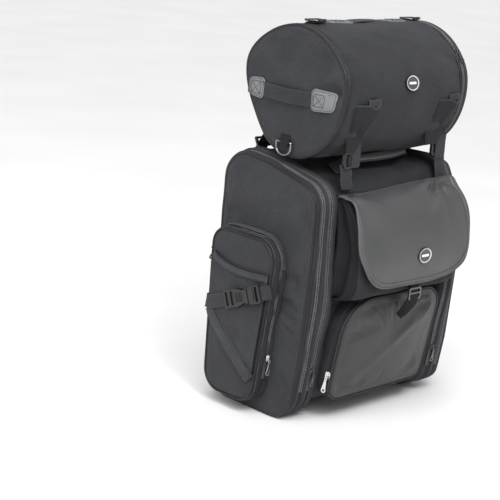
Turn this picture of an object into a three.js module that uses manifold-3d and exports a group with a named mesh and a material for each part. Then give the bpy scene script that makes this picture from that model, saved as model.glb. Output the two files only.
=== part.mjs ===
// Tail bag for a motorcycle backrest bar: an upright main bag with a roll bag strapped on its top.
// Millimetres. +Z is up, -Y is the rear face with the flap, -X and +X are the sides with the pockets.
// The origin is the middle of the flat underside.
import * as THREE from "three";
import { mergeVertices } from "three/addons/utils/BufferGeometryUtils.js";
import Module from "manifold-3d";

// ---------------------------------------------------------------- driving dimensions
const SHELL_HALF = 150; // half width of the fixed middle of the main bag
const PANEL_X = 180; // outer face of a side panel
const WALL = 3; // padded fabric wall
const GAP = 0.3; // clearance between neighbouring pieces
const ARC_STEPS = 4; // segments in a rounded corner

// Middle of the main bag, as corners [y, z, radius] seen from the side.
const BODY = [
  [104, 0, 30],
  [117, 220, 120],
  [108, 444, 55],
  [4, 450, 120],
  [-104, 421, 45],
  [-117, 230, 120],
  [-84, 0, 45],
];
// Outer edge of a side panel: the same corners, a little smaller.
const PANEL = [
  [100, 0, 30],
  [108, 220, 120],
  [104, 440, 55],
  [4, 434, 120],
  [-103, 412, 45],
  [-97, 230, 120],
  [-78, 0, 42],
];

const POCKET = [
  [85, 22, 30],
  [89, 315, 28],
  [-62, 314, 32],
  [-31, 22, 34],
];
const POCKET_DEPTH = 36; // from the side panel to the pocket's front panel
const POCKET_FACE = PANEL_X + POCKET_DEPTH + GAP * 2;
const POCKET_PAD = 8; // thickness of the pocket's front panel at its middle
const POCKET_ZIP_FROM = 16; // the pocket's zip band starts this far out from the side panel
const POCKET_ZIP_WIDE = 8;

const ROLL_RADIUS = 110;
const ROLL_Y = -15;
const ROLL_Z = 562;
const ROLL_HALF = 150; // half length of the roll bag's barrel
const ROLL_END = 10; // thickness of its zip-round end cap
const ROLL_STEPS = 36;

const STRAP_X = 107; // the roll bag's straps, either side of the middle
const STRAP_WIDE = 38;
const SLEEVE_WIDE = 70;

const WEB_THICK = 2;
const WEB_WIDE = 26;

const BUCKLE_TILT = 21; // degrees, up towards the rear
const BUCKLE_Y = -18;
const BUCKLE_Z = 216;
const BUCKLE_HALF = 16; // half its width

const LOWER_LEAN = 7.4; // degrees the rear lower pocket leans, its foot towards the bag
const RING_LIFT = 1; // space between a lying ring and its tab, so that it can turn

// ---------------------------------------------------------------- helpers
const wasm = await Module();
wasm.setup();
const rad = THREE.MathUtils.degToRad;

function solidFrom(geometry) {
  const bare = new THREE.BufferGeometry().setAttribute("position", geometry.getAttribute("position"));
  if (geometry.index) bare.setIndex(geometry.index);
  const merged = mergeVertices(bare, 1e-4);
  return new wasm.Manifold(
    new wasm.Mesh({
      numProp: 3,
      vertProperties: new Float32Array(merged.attributes.position.array),
      triVerts: new Uint32Array(merged.index.array),
    }),
  );
}

function box(x0, x1, y0, y1, z0, z1) {
  const geometry = new THREE.BoxGeometry(x1 - x0, y1 - y0, z1 - z0);
  return solidFrom(geometry.translate((x0 + x1) / 2, (y0 + y1) / 2, (z0 + z1) / 2));
}

// Corners [a, b, radius] to a closed outline of 2-D points with rounded corners.
function rounded(corners, steps = ARC_STEPS) {
  const points = [];
  corners.forEach((corner, i) => {
    const here = new THREE.Vector2(corner[0], corner[1]);
    const before = corners[(i + corners.length - 1) % corners.length];
    const after = corners[(i + 1) % corners.length];
    const toBefore = new THREE.Vector2(before[0], before[1]).sub(here).normalize();
    const toAfter = new THREE.Vector2(after[0], after[1]).sub(here).normalize();
    const half = Math.acos(THREE.MathUtils.clamp(toBefore.dot(toAfter), -1, 1)) / 2;
    const reach = corner[2] / Math.tan(half);
    const from = here.clone().addScaledVector(toBefore, reach);
    const to = here.clone().addScaledVector(toAfter, reach);
    const centre = here.clone().addScaledVector(toBefore.clone().add(toAfter).normalize(), corner[2] / Math.sin(half));
    const start = Math.atan2(from.y - centre.y, from.x - centre.x);
    let turn = Math.atan2(to.y - centre.y, to.x - centre.x) - start;
    if (turn > Math.PI) turn -= 2 * Math.PI;
    if (turn < -Math.PI) turn += 2 * Math.PI;
    for (let k = 0; k <= steps; k++) {
      const angle = start + (turn * k) / steps;
      points.push(new THREE.Vector2(centre.x + corner[2] * Math.cos(angle), centre.y + corner[2] * Math.sin(angle)));
    }
  });
  return points;
}

// The same corners moved inwards by d (outwards if d is negative).
function inset(corners, d) {
  const turnsLeft = THREE.ShapeUtils.area(corners.map((c) => new THREE.Vector2(c[0], c[1]))) > 0 ? 1 : -1;
  return corners.map((corner, i) => {
    const before = corners[(i + corners.length - 1) % corners.length];
    const after = corners[(i + 1) % corners.length];
    const u = new THREE.Vector2(corner[0] - before[0], corner[1] - before[1]).normalize();
    const v = new THREE.Vector2(after[0] - corner[0], after[1] - corner[1]).normalize();
    const nu = new THREE.Vector2(-u.y, u.x).multiplyScalar(turnsLeft);
    const nv = new THREE.Vector2(-v.y, v.x).multiplyScalar(turnsLeft);
    const bisector = nu.clone().add(nv).normalize();
    const reach = d / bisector.dot(nu);
    return [corner[0] + bisector.x * reach, corner[1] + bisector.y * reach, Math.max(1, corner[2] - d)];
  });
}

function extrude(points, depth, holes = []) {
  const shape = new THREE.Shape(points);
  holes.forEach((hole) => shape.holes.push(new THREE.Path(hole)));
  return new THREE.ExtrudeGeometry(shape, { depth, steps: 1, bevelEnabled: false });
}

const ALONG_X = new THREE.Matrix4().makeBasis(
  new THREE.Vector3(0, 1, 0),
  new THREE.Vector3(0, 0, 1),
  new THREE.Vector3(1, 0, 0),
);
const ALONG_Y = new THREE.Matrix4().makeBasis(
  new THREE.Vector3(1, 0, 0),
  new THREE.Vector3(0, 0, 1),
  new THREE.Vector3(0, -1, 0),
);

// Outline of [y, z] points, from x0 to x1.
function prismX(points, x0, x1, holes = []) {
  return solidFrom(extrude(points, x1 - x0, holes).applyMatrix4(ALONG_X).translate(x0, 0, 0));
}

// Outline of [x, z] points, from y0 to y1.
function prismY(points, y0, y1, holes = []) {
  return solidFrom(extrude(points, y1 - y0, holes).applyMatrix4(ALONG_Y).translate(0, y1, 0));
}

// Outline of [x, y] points, from z0 to z1.
function prismZ(points, z0, z1, holes = []) {
  return solidFrom(extrude(points, z1 - z0, holes).translate(0, 0, z0));
}

// A closed skin through rings of equal count, each { x, points }, capped flat at both ends.
function loftX(rings) {
  const count = rings[0].points.length;
  const positions = [];
  rings.forEach((ring) => ring.points.forEach((p) => positions.push(ring.x, p.x, p.y)));
  const index = [];
  for (let r = 0; r + 1 < rings.length; r++) {
    for (let i = 0; i < count; i++) {
      const j = (i + 1) % count;
      const a = r * count + i;
      const b = r * count + j;
      index.push(a, b, a + count, b, b + count, a + count);
    }
  }
  const cap = THREE.ShapeUtils.triangulateShape(rings[0].points, []);
  const last = (rings.length - 1) * count;
  cap.forEach(([a, b, c]) => index.push(a, c, b, last + a, last + b, last + c));
  const geometry = new THREE.BufferGeometry();
  geometry.setAttribute("position", new THREE.Float32BufferAttribute(positions, 3));
  geometry.setIndex(index);
  const made = solidFrom(geometry);
  if (made.volume() > 0) return made;
  geometry.setIndex(index.map((_, i) => index[i - (i % 3) + [0, 2, 1][i % 3]]));
  return solidFrom(geometry);
}

function rectangle(a0, a1, b0, b1, radius = 0.5) {
  return rounded(
    [
      [a0, b0, radius],
      [a1, b0, radius],
      [a1, b1, radius],
      [a0, b1, radius],
    ],
    radius > 2 ? 3 : 1,
  );
}

// A strip of constant thickness along a 2-D line, as a closed outline.
function ribbon(line, thick) {
  const left = [];
  const right = [];
  line.forEach((p, i) => {
    const a = line[Math.max(0, i - 1)];
    const b = line[Math.min(line.length - 1, i + 1)];
    const n = new THREE.Vector2(-(b[1] - a[1]), b[0] - a[0]).normalize().multiplyScalar(thick / 2);
    left.push(new THREE.Vector2(p[0] + n.x, p[1] + n.y));
    right.unshift(new THREE.Vector2(p[0] - n.x, p[1] - n.y));
  });
  return left.concat(right);
}

// Points on a circle in the side view; 0 degrees faces the rear and positive goes down.
function onRoll(radius, degrees) {
  return [ROLL_Y - radius * Math.cos(rad(degrees)), ROLL_Z - radius * Math.sin(rad(degrees))];
}

function rollArc(radius, from, to, steps) {
  return Array.from({ length: steps + 1 }, (_, k) => onRoll(radius, from + ((to - from) * k) / steps));
}

// Turns a solid about an axis through a point.
function turned(solid, axis, degrees, x, y, z) {
  const turns = [axis === "x" ? degrees : 0, axis === "y" ? degrees : 0, axis === "z" ? degrees : 0];
  return solid.translate([-x, -y, -z]).rotate(turns).translate([x, y, z]);
}

const MATERIALS = {
  fabric: { color: 0x2e3138, roughness: 0.9, metalness: 0 },
  leather: { color: 0x6b6a6c, roughness: 0.6, metalness: 0 },
  patch: { color: 0xa3a09c, roughness: 0.6, metalness: 0 },
  webbing: { color: 0x24262b, roughness: 0.85, metalness: 0 },
  mesh: { color: 0x191a1d, roughness: 0.9, metalness: 0 },
  zip: { color: 0x3c3f45, roughness: 0.6, metalness: 0 },
  plastic: { color: 0x1c1d20, roughness: 0.5, metalness: 0 },
  metal: { color: 0xb9bbbe, roughness: 0.35, metalness: 1 },
  board: { color: 0x303030, roughness: 0.7, metalness: 0 },
};

const bag = new THREE.Group();

function add(name, solid, material) {
  const made = solid.getMesh();
  const position = new Float32Array(made.numVert * 3);
  for (let i = 0; i < made.numVert; i++) {
    position.set(made.vertProperties.subarray(i * made.numProp, i * made.numProp + 3), i * 3);
  }
  const geometry = new THREE.BufferGeometry();
  geometry.setAttribute("position", new THREE.BufferAttribute(position, 3));
  geometry.setIndex(new THREE.BufferAttribute(made.triVerts, 1));
  geometry.computeVertexNormals();
  const mesh = new THREE.Mesh(geometry, new THREE.MeshStandardMaterial(MATERIALS[material]));
  mesh.name = name;
  bag.add(mesh);
}

// ---------------------------------------------------------------- main bag
const bodyOutline = rounded(BODY);
const bodyKeepOut = prismX(rounded(inset(BODY, -GAP)), -SHELL_HALF - 1, SHELL_HALF + 1);

add(
  "main_shell",
  prismX(bodyOutline, -SHELL_HALF, SHELL_HALF, [rounded(inset(BODY, WALL))]),
  "fabric",
);
add("base_board", box(-138, 138, -36, 70, WALL + GAP, WALL + GAP + 4), "board");

// Sleeve on the front face that slides down over the backrest bar: open at its lower end.
const SLEEVE_OUTER = rectangle(-118, 118, 40, 400, 20);
const SLEEVE_INNER = rectangle(-113, 113, 30, 394, 16);
add(
  "bar_sleeve",
  prismY(SLEEVE_OUTER, 90, 138)
    .subtract(prismY(SLEEVE_INNER, 80, 135))
    .subtract(bodyKeepOut),
  "fabric",
);

// Carry handle of the main bag, lying on the top towards the rear.
const HANDLE_Y = -62;
const HANDLE_LINE = [
  [-88, 436],
  [-64, 436],
  [-54, 446],
  [54, 446],
  [64, 436],
  [88, 436],
];
add("top_carry_handle", prismY(ribbon(HANDLE_LINE, 3), HANDLE_Y - 13, HANDLE_Y + 13).subtract(bodyKeepOut), "webbing");

// ---------------------------------------------------------------- rear upper pocket and its flap
const UPPER_POCKET = [
  [-118, 372],
  [-146, 366],
  [-163, 340],
  [-173, 300],
  [-173, 244],
  [-164, 230],
  [-100, 230],
  [-100, 372],
].map(([y, z]) => new THREE.Vector2(y, z));
const UPPER_HOLLOW = [
  [-100, 380],
  [-142, 380],
  [-143, 363],
  [-160, 338],
  [-170, 299],
  [-170, 245],
  [-163, 233],
  [-100, 233],
].map(([y, z]) => new THREE.Vector2(y, z));
add(
  "rear_upper_pocket",
  prismX(UPPER_POCKET, -132, 132)
    .subtract(prismX(UPPER_HOLLOW, -129, 129))
    .subtract(bodyKeepOut),
  "fabric",
);

const FLAP_LINE = [
  [-112, 406],
  [-126, 405],
  [-148, 393],
  [-163, 372],
  [-174, 347],
  [-181, 316],
  [-183, 284],
  [-181, 246],
];
const FLAP_OUTLINE = [
  [-149, 246, 76],
  [151, 246, 56],
  [146, 412, 10],
  [-144, 412, 10],
];
add(
  "rear_flap",
  prismX(ribbon(FLAP_LINE, 3.2), -160, 160)
    .intersect(prismY(rounded(FLAP_OUTLINE), -190, -100))
    .subtract(bodyKeepOut),
  "leather",
);

// Plain round badge, facing the rear; lean tips its face upwards.
const BADGE_RADIUS = 13.5;
const BADGE_STRETCH = 1.25; // wider than tall
const BADGE_THICK = 2;
function badge(x, y, z, lean) {
  const disc = new THREE.CylinderGeometry(BADGE_RADIUS, BADGE_RADIUS, BADGE_THICK, 28);
  disc.scale(BADGE_STRETCH, 1, 1);
  return solidFrom(disc.rotateX(-rad(lean)).translate(x, y, z));
}
const FLAP_BADGE_X = 15;
add("flap_badge", badge(FLAP_BADGE_X, -186.2, 292, 0), "metal");

// Adjuster ring and loose webbing tail under the flap's lower edge.
const RING_X = 10;
const RING_HOLE = rectangle(RING_X - 14, RING_X + 14, 225, 230);
add(
  "flap_ring",
  prismY(rectangle(RING_X - 17, RING_X + 17, 219, 240, 3), -180, -176.5, [RING_HOLE]),
  "plastic",
);
add("flap_tail", box(RING_X - 13, RING_X + 13, -176.1, -174.1, 190, 243), "webbing");

// ---------------------------------------------------------------- rear lower pocket
const LOWER_POCKET = [
  [-125, 26, 28],
  [125, 26, 28],
  [114, 220, 52],
  [-114, 220, 52],
];
const LOWER_FACE = -146;
const LOWER_TOP = 220;
const leaned = (solid) => turned(solid, "x", LOWER_LEAN, 0, LOWER_FACE, LOWER_TOP);
add(
  "rear_lower_pocket",
  leaned(prismY(rounded(LOWER_POCKET), LOWER_FACE, -70, [rounded(inset(LOWER_POCKET, 2.5))])).subtract(bodyKeepOut),
  "fabric",
);

function padded(corners, face, direction, thick) {
  const rings = [
    { x: face * direction, points: rounded(corners) },
    { x: (face + thick * 0.45) * direction, points: rounded(corners) },
    { x: (face + thick * 0.85) * direction, points: rounded(inset(corners, 5)) },
    { x: (face + thick) * direction, points: rounded(inset(corners, 14)) },
  ];
  return loftX(rings);
}
// Built along X and then turned, so the pad's outline of [x, z] faces the rear.
const lowerPad = padded(LOWER_POCKET, -LOWER_FACE + GAP, 1, 8);
add("rear_lower_panel", leaned(lowerPad.rotate([0, 0, -90])), "leather");

function zipBand(corners, makePrism, from, to, cutBelow, above) {
  const outer = rounded(inset(corners, -GAP - 1.4));
  const inner = rounded(inset(corners, -GAP));
  return makePrism(outer, from, to, [inner]).subtract(above.translate([0, 0, cutBelow - 1000]));
}
const HALF_SPACE = box(-400, 400, -400, 400, 0, 1000);
add(
  "rear_lower_zip",
  leaned(zipBand(LOWER_POCKET, prismY, LOWER_FACE + 2, LOWER_FACE + 10, 60, HALF_SPACE)),
  "zip",
);

// Zip slider that straddles the coil, and its pull tab with a hole in the end.
// Both are built lying in the plane y = 0 with the tab hanging down from z = 0.
function sliderBody() {
  return prismY(
    [
      new THREE.Vector2(-5, -6),
      new THREE.Vector2(5, -6),
      new THREE.Vector2(6, 4),
      new THREE.Vector2(3, 7),
      new THREE.Vector2(-3, 7),
      new THREE.Vector2(-6, 4),
    ],
    -3.4,
    0,
  );
}
function pullTab(length) {
  const hole = rectangle(-2.2, 2.2, -length + 3.5, -length + 9, 1.5);
  return prismY(rectangle(-4.5, 4.5, -length, 0, 2.5), -5.4, -3.8, [hole]);
}

// A point on the straight run between two corners of an outline, just outside its zip band.
// share is the way up from the foot; lean is the run's lean from upright, in degrees.
function zipRun(corners, foot, top, share) {
  const edge = inset(corners, -GAP * 2 - 1.4);
  const [footA, footZ] = edge[foot];
  const [topA, topZ] = edge[top];
  return {
    a: footA + (topA - footA) * share,
    z: footZ + (topZ - footZ) * share,
    lean: THREE.MathUtils.radToDeg(Math.atan2(topA - footA, topZ - footZ)),
  };
}

// The slider rests low on the left run of the zip.
const lowerRun = zipRun(LOWER_POCKET, 0, 3, 0.27);
const onLowerRun = (solid) =>
  leaned(turned(solid.rotate([0, 0, -90]), "y", lowerRun.lean, 0, 0, 0).translate([lowerRun.a, LOWER_FACE + 6, lowerRun.z]));
add("rear_lower_slider", onLowerRun(sliderBody()), "metal");
add("rear_lower_pull", onLowerRun(pullTab(26).translate([0, 0, -1])), "metal");

// ---------------------------------------------------------------- sides
function addSide(side, word) {
  const place = (solid) => (side < 0 ? solid : solid.mirror([1, 0, 0]));
  const put = (name, solid, material) => add(word + "_" + name, place(solid), material);

  // Side panel: a shallow tray that closes the main bag and swings down on its lower edge.
  const outer = loftX([
    { x: -SHELL_HALF - GAP, points: rounded(BODY) },
    { x: -168, points: rounded(inset(BODY, 3)) },
    { x: -PANEL_X, points: rounded(PANEL) },
  ]);
  const hollow = loftX([
    { x: -SHELL_HALF + 1, points: rounded(inset(BODY, WALL)) },
    { x: -168, points: rounded(inset(BODY, WALL + 3)) },
    { x: -PANEL_X + WALL, points: rounded(inset(PANEL, WALL + 2)) },
  ]);
  put("side_panel", outer.subtract(hollow), "fabric");
  put(
    "main_zip",
    zipBand(BODY, prismX, -SHELL_HALF + 2, -SHELL_HALF + 12, 40, HALF_SPACE),
    "zip",
  );
  const mainRun = zipRun(BODY, 6, 5, 0.4);
  put(
    "main_slider",
    turned(sliderBody(), "x", -mainRun.lean, 0, 0, 0).translate([-SHELL_HALF + 7, mainRun.a, mainRun.z]),
    "metal",
  );

  // Side pocket: open frame on the panel, padded front panel hinged at its foot.
  const pocketFrom = -PANEL_X - GAP;
  put(
    "pocket_frame",
    prismX(rounded(POCKET), pocketFrom - POCKET_DEPTH, pocketFrom, [rounded(inset(POCKET, 2.5))]),
    "fabric",
  );
  put("pocket_front", padded(POCKET, POCKET_FACE, -1, POCKET_PAD), "fabric");
  const zipFrom = -PANEL_X - POCKET_ZIP_FROM - POCKET_ZIP_WIDE;
  put("pocket_zip", zipBand(POCKET, prismX, zipFrom, zipFrom + POCKET_ZIP_WIDE, 62, HALF_SPACE), "zip");

  // Mesh stash pocket on the front panel.
  const face = -POCKET_FACE - POCKET_PAD;
  const meshShape = [
    [70, 158],
    [74, 256],
    [-48, 252],
    [-34, 84],
  ].map(([y, z]) => new THREE.Vector2(y, z));
  put("mesh_pocket", prismX(meshShape, face - GAP - 1.2, face - GAP), "mesh");

  // Compression strap with a side-release buckle, set at a slant across the front panel.
  const lift = face - GAP - 1.2 - GAP;
  const slant = (solid) => turned(solid, "x", -BUCKLE_TILT, 0, BUCKLE_Y, BUCKLE_Z);
  const half = WEB_WIDE / 2;
  const frontWeb = box(lift - WEB_THICK, lift, BUCKLE_Y + 32, BUCKLE_Y + 106, BUCKLE_Z - half, BUCKLE_Z + half);
  const rearWeb = box(lift - WEB_THICK, lift, BUCKLE_Y - 42, BUCKLE_Y - 20, BUCKLE_Z - half, BUCKLE_Z + half);
  put("front_web", slant(frontWeb), "webbing");
  put("rear_web", slant(rearWeb), "webbing");

  const low = lift - WEB_THICK - GAP;
  const high = low - 9;
  const mid = (low + high) / 2;
  const wide = BUCKLE_HALF;
  const female = box(high, low, BUCKLE_Y - 8, BUCKLE_Y + 50, BUCKLE_Z - wide, BUCKLE_Z + wide)
    .subtract(box(mid - 2.7, mid + 2.7, BUCKLE_Y - 9, BUCKLE_Y + 20, BUCKLE_Z - 13, BUCKLE_Z + 13))
    .subtract(box(mid - 2.2, mid + 2.2, BUCKLE_Y + 2, BUCKLE_Y + 16, BUCKLE_Z - wide - 1, BUCKLE_Z + wide + 1))
    .subtract(box(high - 1, low + 1, BUCKLE_Y + 30, BUCKLE_Y + 35, BUCKLE_Z - 12.5, BUCKLE_Z + 12.5))
    .subtract(box(high - 1, low + 1, BUCKLE_Y + 41, BUCKLE_Y + 46, BUCKLE_Z - 12.5, BUCKLE_Z + 12.5));
  put("buckle_female", slant(female), "plastic");
  const male = box(high, low, BUCKLE_Y - 38, BUCKLE_Y - 8.5, BUCKLE_Z - wide, BUCKLE_Z + wide)
    .subtract(box(high - 1, low + 1, BUCKLE_Y - 33, BUCKLE_Y - 27, BUCKLE_Z - 12.5, BUCKLE_Z + 12.5))
    .add(box(mid - 2, mid + 2, BUCKLE_Y - 9, BUCKLE_Y + 14, BUCKLE_Z - 11.5, BUCKLE_Z - 7.5))
    .add(box(mid - 2, mid + 2, BUCKLE_Y - 9, BUCKLE_Y + 14, BUCKLE_Z + 7.5, BUCKLE_Z + 11.5))
    .add(box(mid - 2, mid + 2, BUCKLE_Y - 9, BUCKLE_Y + 12, BUCKLE_Z - 2, BUCKLE_Z + 2));
  put("buckle_male", slant(male), "plastic");

  // Slider low on the rear run of the pocket's zip, with its pull tab.
  const run = zipRun(POCKET, 3, 2, 0.3);
  const sliderX = zipFrom + POCKET_ZIP_WIDE / 2;
  const at = (solid) => turned(solid, "x", -run.lean, 0, 0, 0).translate([sliderX, run.a, run.z]);
  put("pocket_slider", at(sliderBody()), "metal");
  put("pocket_pull", at(pullTab(30).translate([0, 0, -1])), "metal");
}

addSide(-1, "left");
addSide(1, "right");

// ---------------------------------------------------------------- roll bag
function ringX(x, radius) {
  const points = [];
  for (let i = 0; i < ROLL_STEPS; i++) {
    const angle = (i * 2 * Math.PI) / ROLL_STEPS;
    points.push(new THREE.Vector2(ROLL_Y + radius * Math.cos(angle), ROLL_Z + radius * Math.sin(angle)));
  }
  return { x, points };
}
const barrel = loftX([
  ringX(-ROLL_HALF - ROLL_END, ROLL_RADIUS - 12),
  ringX(-ROLL_HALF - 7, ROLL_RADIUS - 2),
  ringX(-ROLL_HALF, ROLL_RADIUS),
  ringX(ROLL_HALF, ROLL_RADIUS),
]);
const barrelHollow = loftX([
  ringX(-ROLL_HALF - 6, ROLL_RADIUS - 8),
  ringX(-ROLL_HALF, ROLL_RADIUS - WALL),
  ringX(ROLL_HALF + 1, ROLL_RADIUS - WALL),
]);
add("roll_shell", barrel.subtract(barrelHollow), "fabric");
add(
  "roll_end_cap",
  loftX([
    ringX(ROLL_HALF + GAP, ROLL_RADIUS),
    ringX(ROLL_HALF + 6, ROLL_RADIUS - 2),
    ringX(ROLL_HALF + ROLL_END, ROLL_RADIUS - 12),
  ]),
  "fabric",
);
// The end cap's slider runs round the barrel's edge; it rests high on the rear.
const ROLL_SLIDER_UP = 40;
const rollSlider = sliderBody().translate([ROLL_HALF - 6.5, ROLL_Y - ROLL_RADIUS - GAP, ROLL_Z]);
add("roll_slider", turned(rollSlider, "x", -ROLL_SLIDER_UP, 0, ROLL_Y, ROLL_Z), "metal");

const SLEEVE_MID = ROLL_RADIUS + GAP + 3.2; // middle of the sleeve's thickness, where the strap lies
for (const [word, side] of [
  ["left", -1],
  ["right", 1],
]) {
  const x = side * STRAP_X;
  // Open-ended sleeve low on the rear, and the strap that comes down out of it.
  const cover = ribbon(rollArc(SLEEVE_MID, 0, 48, 8), 6);
  const slot = ribbon(rollArc(SLEEVE_MID, -6, 54, 10), 2.8);
  add(
    "roll_sleeve_" + word,
    prismX(cover, x - SLEEVE_WIDE / 2, x + SLEEVE_WIDE / 2)
      .subtract(prismX(slot, x - SLEEVE_WIDE / 2 + 3, x + SLEEVE_WIDE / 2 - 3))
      .subtract(prismX(ringX(0, ROLL_RADIUS + GAP).points, -300, 300)),
    "fabric",
  );
  const strapLine = rollArc(SLEEVE_MID, 6, 54, 8).concat([[-102, 440]]);
  add(
    "rear_strap_" + word,
    prismX(ribbon(strapLine, 1.8), x - STRAP_WIDE / 2, x + STRAP_WIDE / 2),
    "webbing",
  );
  // Anchor loop on the main bag's top rear edge, under the strap's end.
  add(
    "rear_anchor_" + word,
    prismX(rectangle(-109, -97, 415, 438, 3), x - 22, x + 22)
      .subtract(prismX(rectangle(-106.5, -99.5, 428, 434.5), x - 23, x + 23))
      .subtract(bodyKeepOut),
    "plastic",
  );
}

const RING_AT = 121;
// Grab handle along the top, its sewn end patches, and a ring on a tab beyond each end.
const TOP = ROLL_Z + ROLL_RADIUS;
const onTop = (solid) => solid.subtract(prismX(ringX(0, ROLL_RADIUS + GAP).points, -300, 300));
add(
  "roll_handle",
  onTop(
    prismY(
      ribbon(
        [
          [-92, TOP + 1.5],
          [-44, TOP + 1.5],
          [-28, TOP + 9.5],
          [28, TOP + 9.5],
          [44, TOP + 1.5],
          [92, TOP + 1.5],
        ],
        2.4,
      ),
      ROLL_Y - 13,
      ROLL_Y + 13,
    ),
  ),
  "webbing",
);
for (const [word, side] of [
  ["left", -1],
  ["right", 1],
]) {
  const near = 46;
  const far = 98;
  add(
    "roll_patch_" + word,
    box(
      Math.min(side * near, side * far),
      Math.max(side * near, side * far),
      ROLL_Y - 18,
      ROLL_Y + 18,
      TOP + 3.1,
      TOP + 5.1,
    ),
    "patch",
  );
  const x = side * RING_AT;
  add("roll_tab_" + word, onTop(box(x - 9, x + 9, ROLL_Y - 14, ROLL_Y + 14, TOP - 2, TOP + 3)), "webbing");
  const ring = prismZ(rectangle(x - 15, x + 15, ROLL_Y - 15, ROLL_Y + 15, 8), TOP + 3 + RING_LIFT, TOP + 6 + RING_LIFT, [
    rectangle(x - 11.5, x + 11.5, ROLL_Y - 11.5, ROLL_Y + 11.5, 5),
  ]);
  add("roll_ring_" + word, ring, "metal");
}

// Round badge in the middle of the rear.
const BADGE_UP = 13;
const [badgeY, badgeZ] = onRoll(ROLL_RADIUS + GAP + BADGE_THICK / 2, -BADGE_UP);
add("roll_badge", badge(0, badgeY, badgeZ, BADGE_UP), "metal");

// Grab handle across the closed end, and a ring on a tab below it.
const END = -ROLL_HALF - ROLL_END;
const endBend = [
  [ROLL_Y - 86, END - 1.5],
  [ROLL_Y - 52, END - 1.5],
  [ROLL_Y - 36, END - 12],
  [ROLL_Y + 36, END - 12],
  [ROLL_Y + 52, END - 1.5],
  [ROLL_Y + 86, END - 1.5],
];
add(
  "end_handle",
  prismZ(ribbon(endBend.map(([y, x]) => [x, y]), 2.4), ROLL_Z - 21, ROLL_Z + 5)
    .subtract(prismX(ringX(0, ROLL_RADIUS + 20).points, END - GAP, END + 30)),
  "webbing",
);
add("end_tab", box(END - 3.3, END - GAP, ROLL_Y - 8, ROLL_Y + 14, ROLL_Z - 92, ROLL_Z - 70), "webbing");
add(
  "end_ring",
  prismX(rectangle(ROLL_Y - 13, ROLL_Y + 19, ROLL_Z - 106, ROLL_Z - 82, 8), END - 6.3 - RING_LIFT, END - 3.3 - RING_LIFT, [
    rectangle(ROLL_Y - 9.5, ROLL_Y + 15.5, ROLL_Z - 102.5, ROLL_Z - 85.5, 5),
  ]),
  "metal",
);

export default bag;
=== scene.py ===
import math

import bmesh
import bpy
import numpy as np
from mathutils import Matrix, Vector, kdtree, noise
from mathutils.geometry import tessellate_polygon


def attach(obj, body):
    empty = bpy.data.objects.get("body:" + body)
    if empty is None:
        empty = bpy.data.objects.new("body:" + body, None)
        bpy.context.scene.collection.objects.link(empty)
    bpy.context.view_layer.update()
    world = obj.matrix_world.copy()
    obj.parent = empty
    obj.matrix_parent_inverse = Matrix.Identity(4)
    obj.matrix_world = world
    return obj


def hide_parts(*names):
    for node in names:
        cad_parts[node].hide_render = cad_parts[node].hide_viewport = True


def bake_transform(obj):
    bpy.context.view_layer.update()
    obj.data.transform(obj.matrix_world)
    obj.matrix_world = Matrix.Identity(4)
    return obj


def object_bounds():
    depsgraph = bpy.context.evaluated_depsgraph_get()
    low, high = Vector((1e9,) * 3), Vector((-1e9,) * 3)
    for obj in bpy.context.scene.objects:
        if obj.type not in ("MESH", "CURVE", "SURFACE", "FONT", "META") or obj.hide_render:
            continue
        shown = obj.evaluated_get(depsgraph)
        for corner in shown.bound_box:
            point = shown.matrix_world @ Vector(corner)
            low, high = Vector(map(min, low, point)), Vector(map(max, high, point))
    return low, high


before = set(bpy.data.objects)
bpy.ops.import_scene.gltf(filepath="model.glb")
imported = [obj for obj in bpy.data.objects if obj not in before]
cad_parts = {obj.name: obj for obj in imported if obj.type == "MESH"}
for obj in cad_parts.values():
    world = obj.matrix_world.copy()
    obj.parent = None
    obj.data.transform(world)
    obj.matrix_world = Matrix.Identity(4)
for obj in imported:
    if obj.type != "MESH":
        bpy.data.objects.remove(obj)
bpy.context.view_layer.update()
MM = 0.001
SETTLE_FRAMES = 20
# Sizes of the rings inside a panel, as shares of its outline, from the rim to the middle
PANEL_RINGS = (0.96, 0.91, 0.86, 0.8, 0.73, 0.66, 0.58, 0.5, 0.42, 0.34, 0.26, 0.18, 0.1)
FLAP_RINGS = (0.97, 0.93, 0.88, 0.82, 0.75, 0.67, 0.58, 0.49, 0.4, 0.31, 0.22, 0.13, 0.05)
CAP_RINGS = (0.96, 0.92, 0.87, 0.82, 0.76, 0.7, 0.63, 0.56, 0.48, 0.4, 0.32, 0.24, 0.16, 0.08)
SIDES = (("left", -1), ("right", 1))


# ------------------------------------------------------------------ materials
def new_material(name):
    mat = bpy.data.materials.new(name)
    mat.use_nodes = True
    tree = mat.node_tree
    shader = tree.nodes["Principled BSDF"]
    coords = tree.nodes.new("ShaderNodeTexCoord").outputs["Object"]
    return mat, tree, shader, coords


def add_noise(tree, coords, size_mm, detail=3.0):
    """Noise with features about size_mm across, as a 0..1 factor."""
    node = tree.nodes.new("ShaderNodeTexNoise")
    node.inputs["Scale"].default_value = 1 / (size_mm * MM)
    node.inputs["Detail"].default_value = detail
    tree.links.new(coords, node.inputs["Vector"])
    return node.outputs["Fac"]


def add_bands(tree, coords, direction, pitch_mm):
    node = tree.nodes.new("ShaderNodeTexWave")
    node.wave_type = "BANDS"
    node.bands_direction = direction
    node.wave_profile = "SIN"
    node.inputs["Scale"].default_value = 1 / (pitch_mm * MM) / 20 * math.pi
    tree.links.new(coords, node.inputs["Vector"])
    return node.outputs["Fac"]


def add_math(tree, operation, a, b):
    node = tree.nodes.new("ShaderNodeMath")
    node.operation = operation
    for socket, value in zip(node.inputs, (a, b)):
        if isinstance(value, (int, float)):
            socket.default_value = value
        else:
            tree.links.new(value, socket)
    return node.outputs[0]


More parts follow.
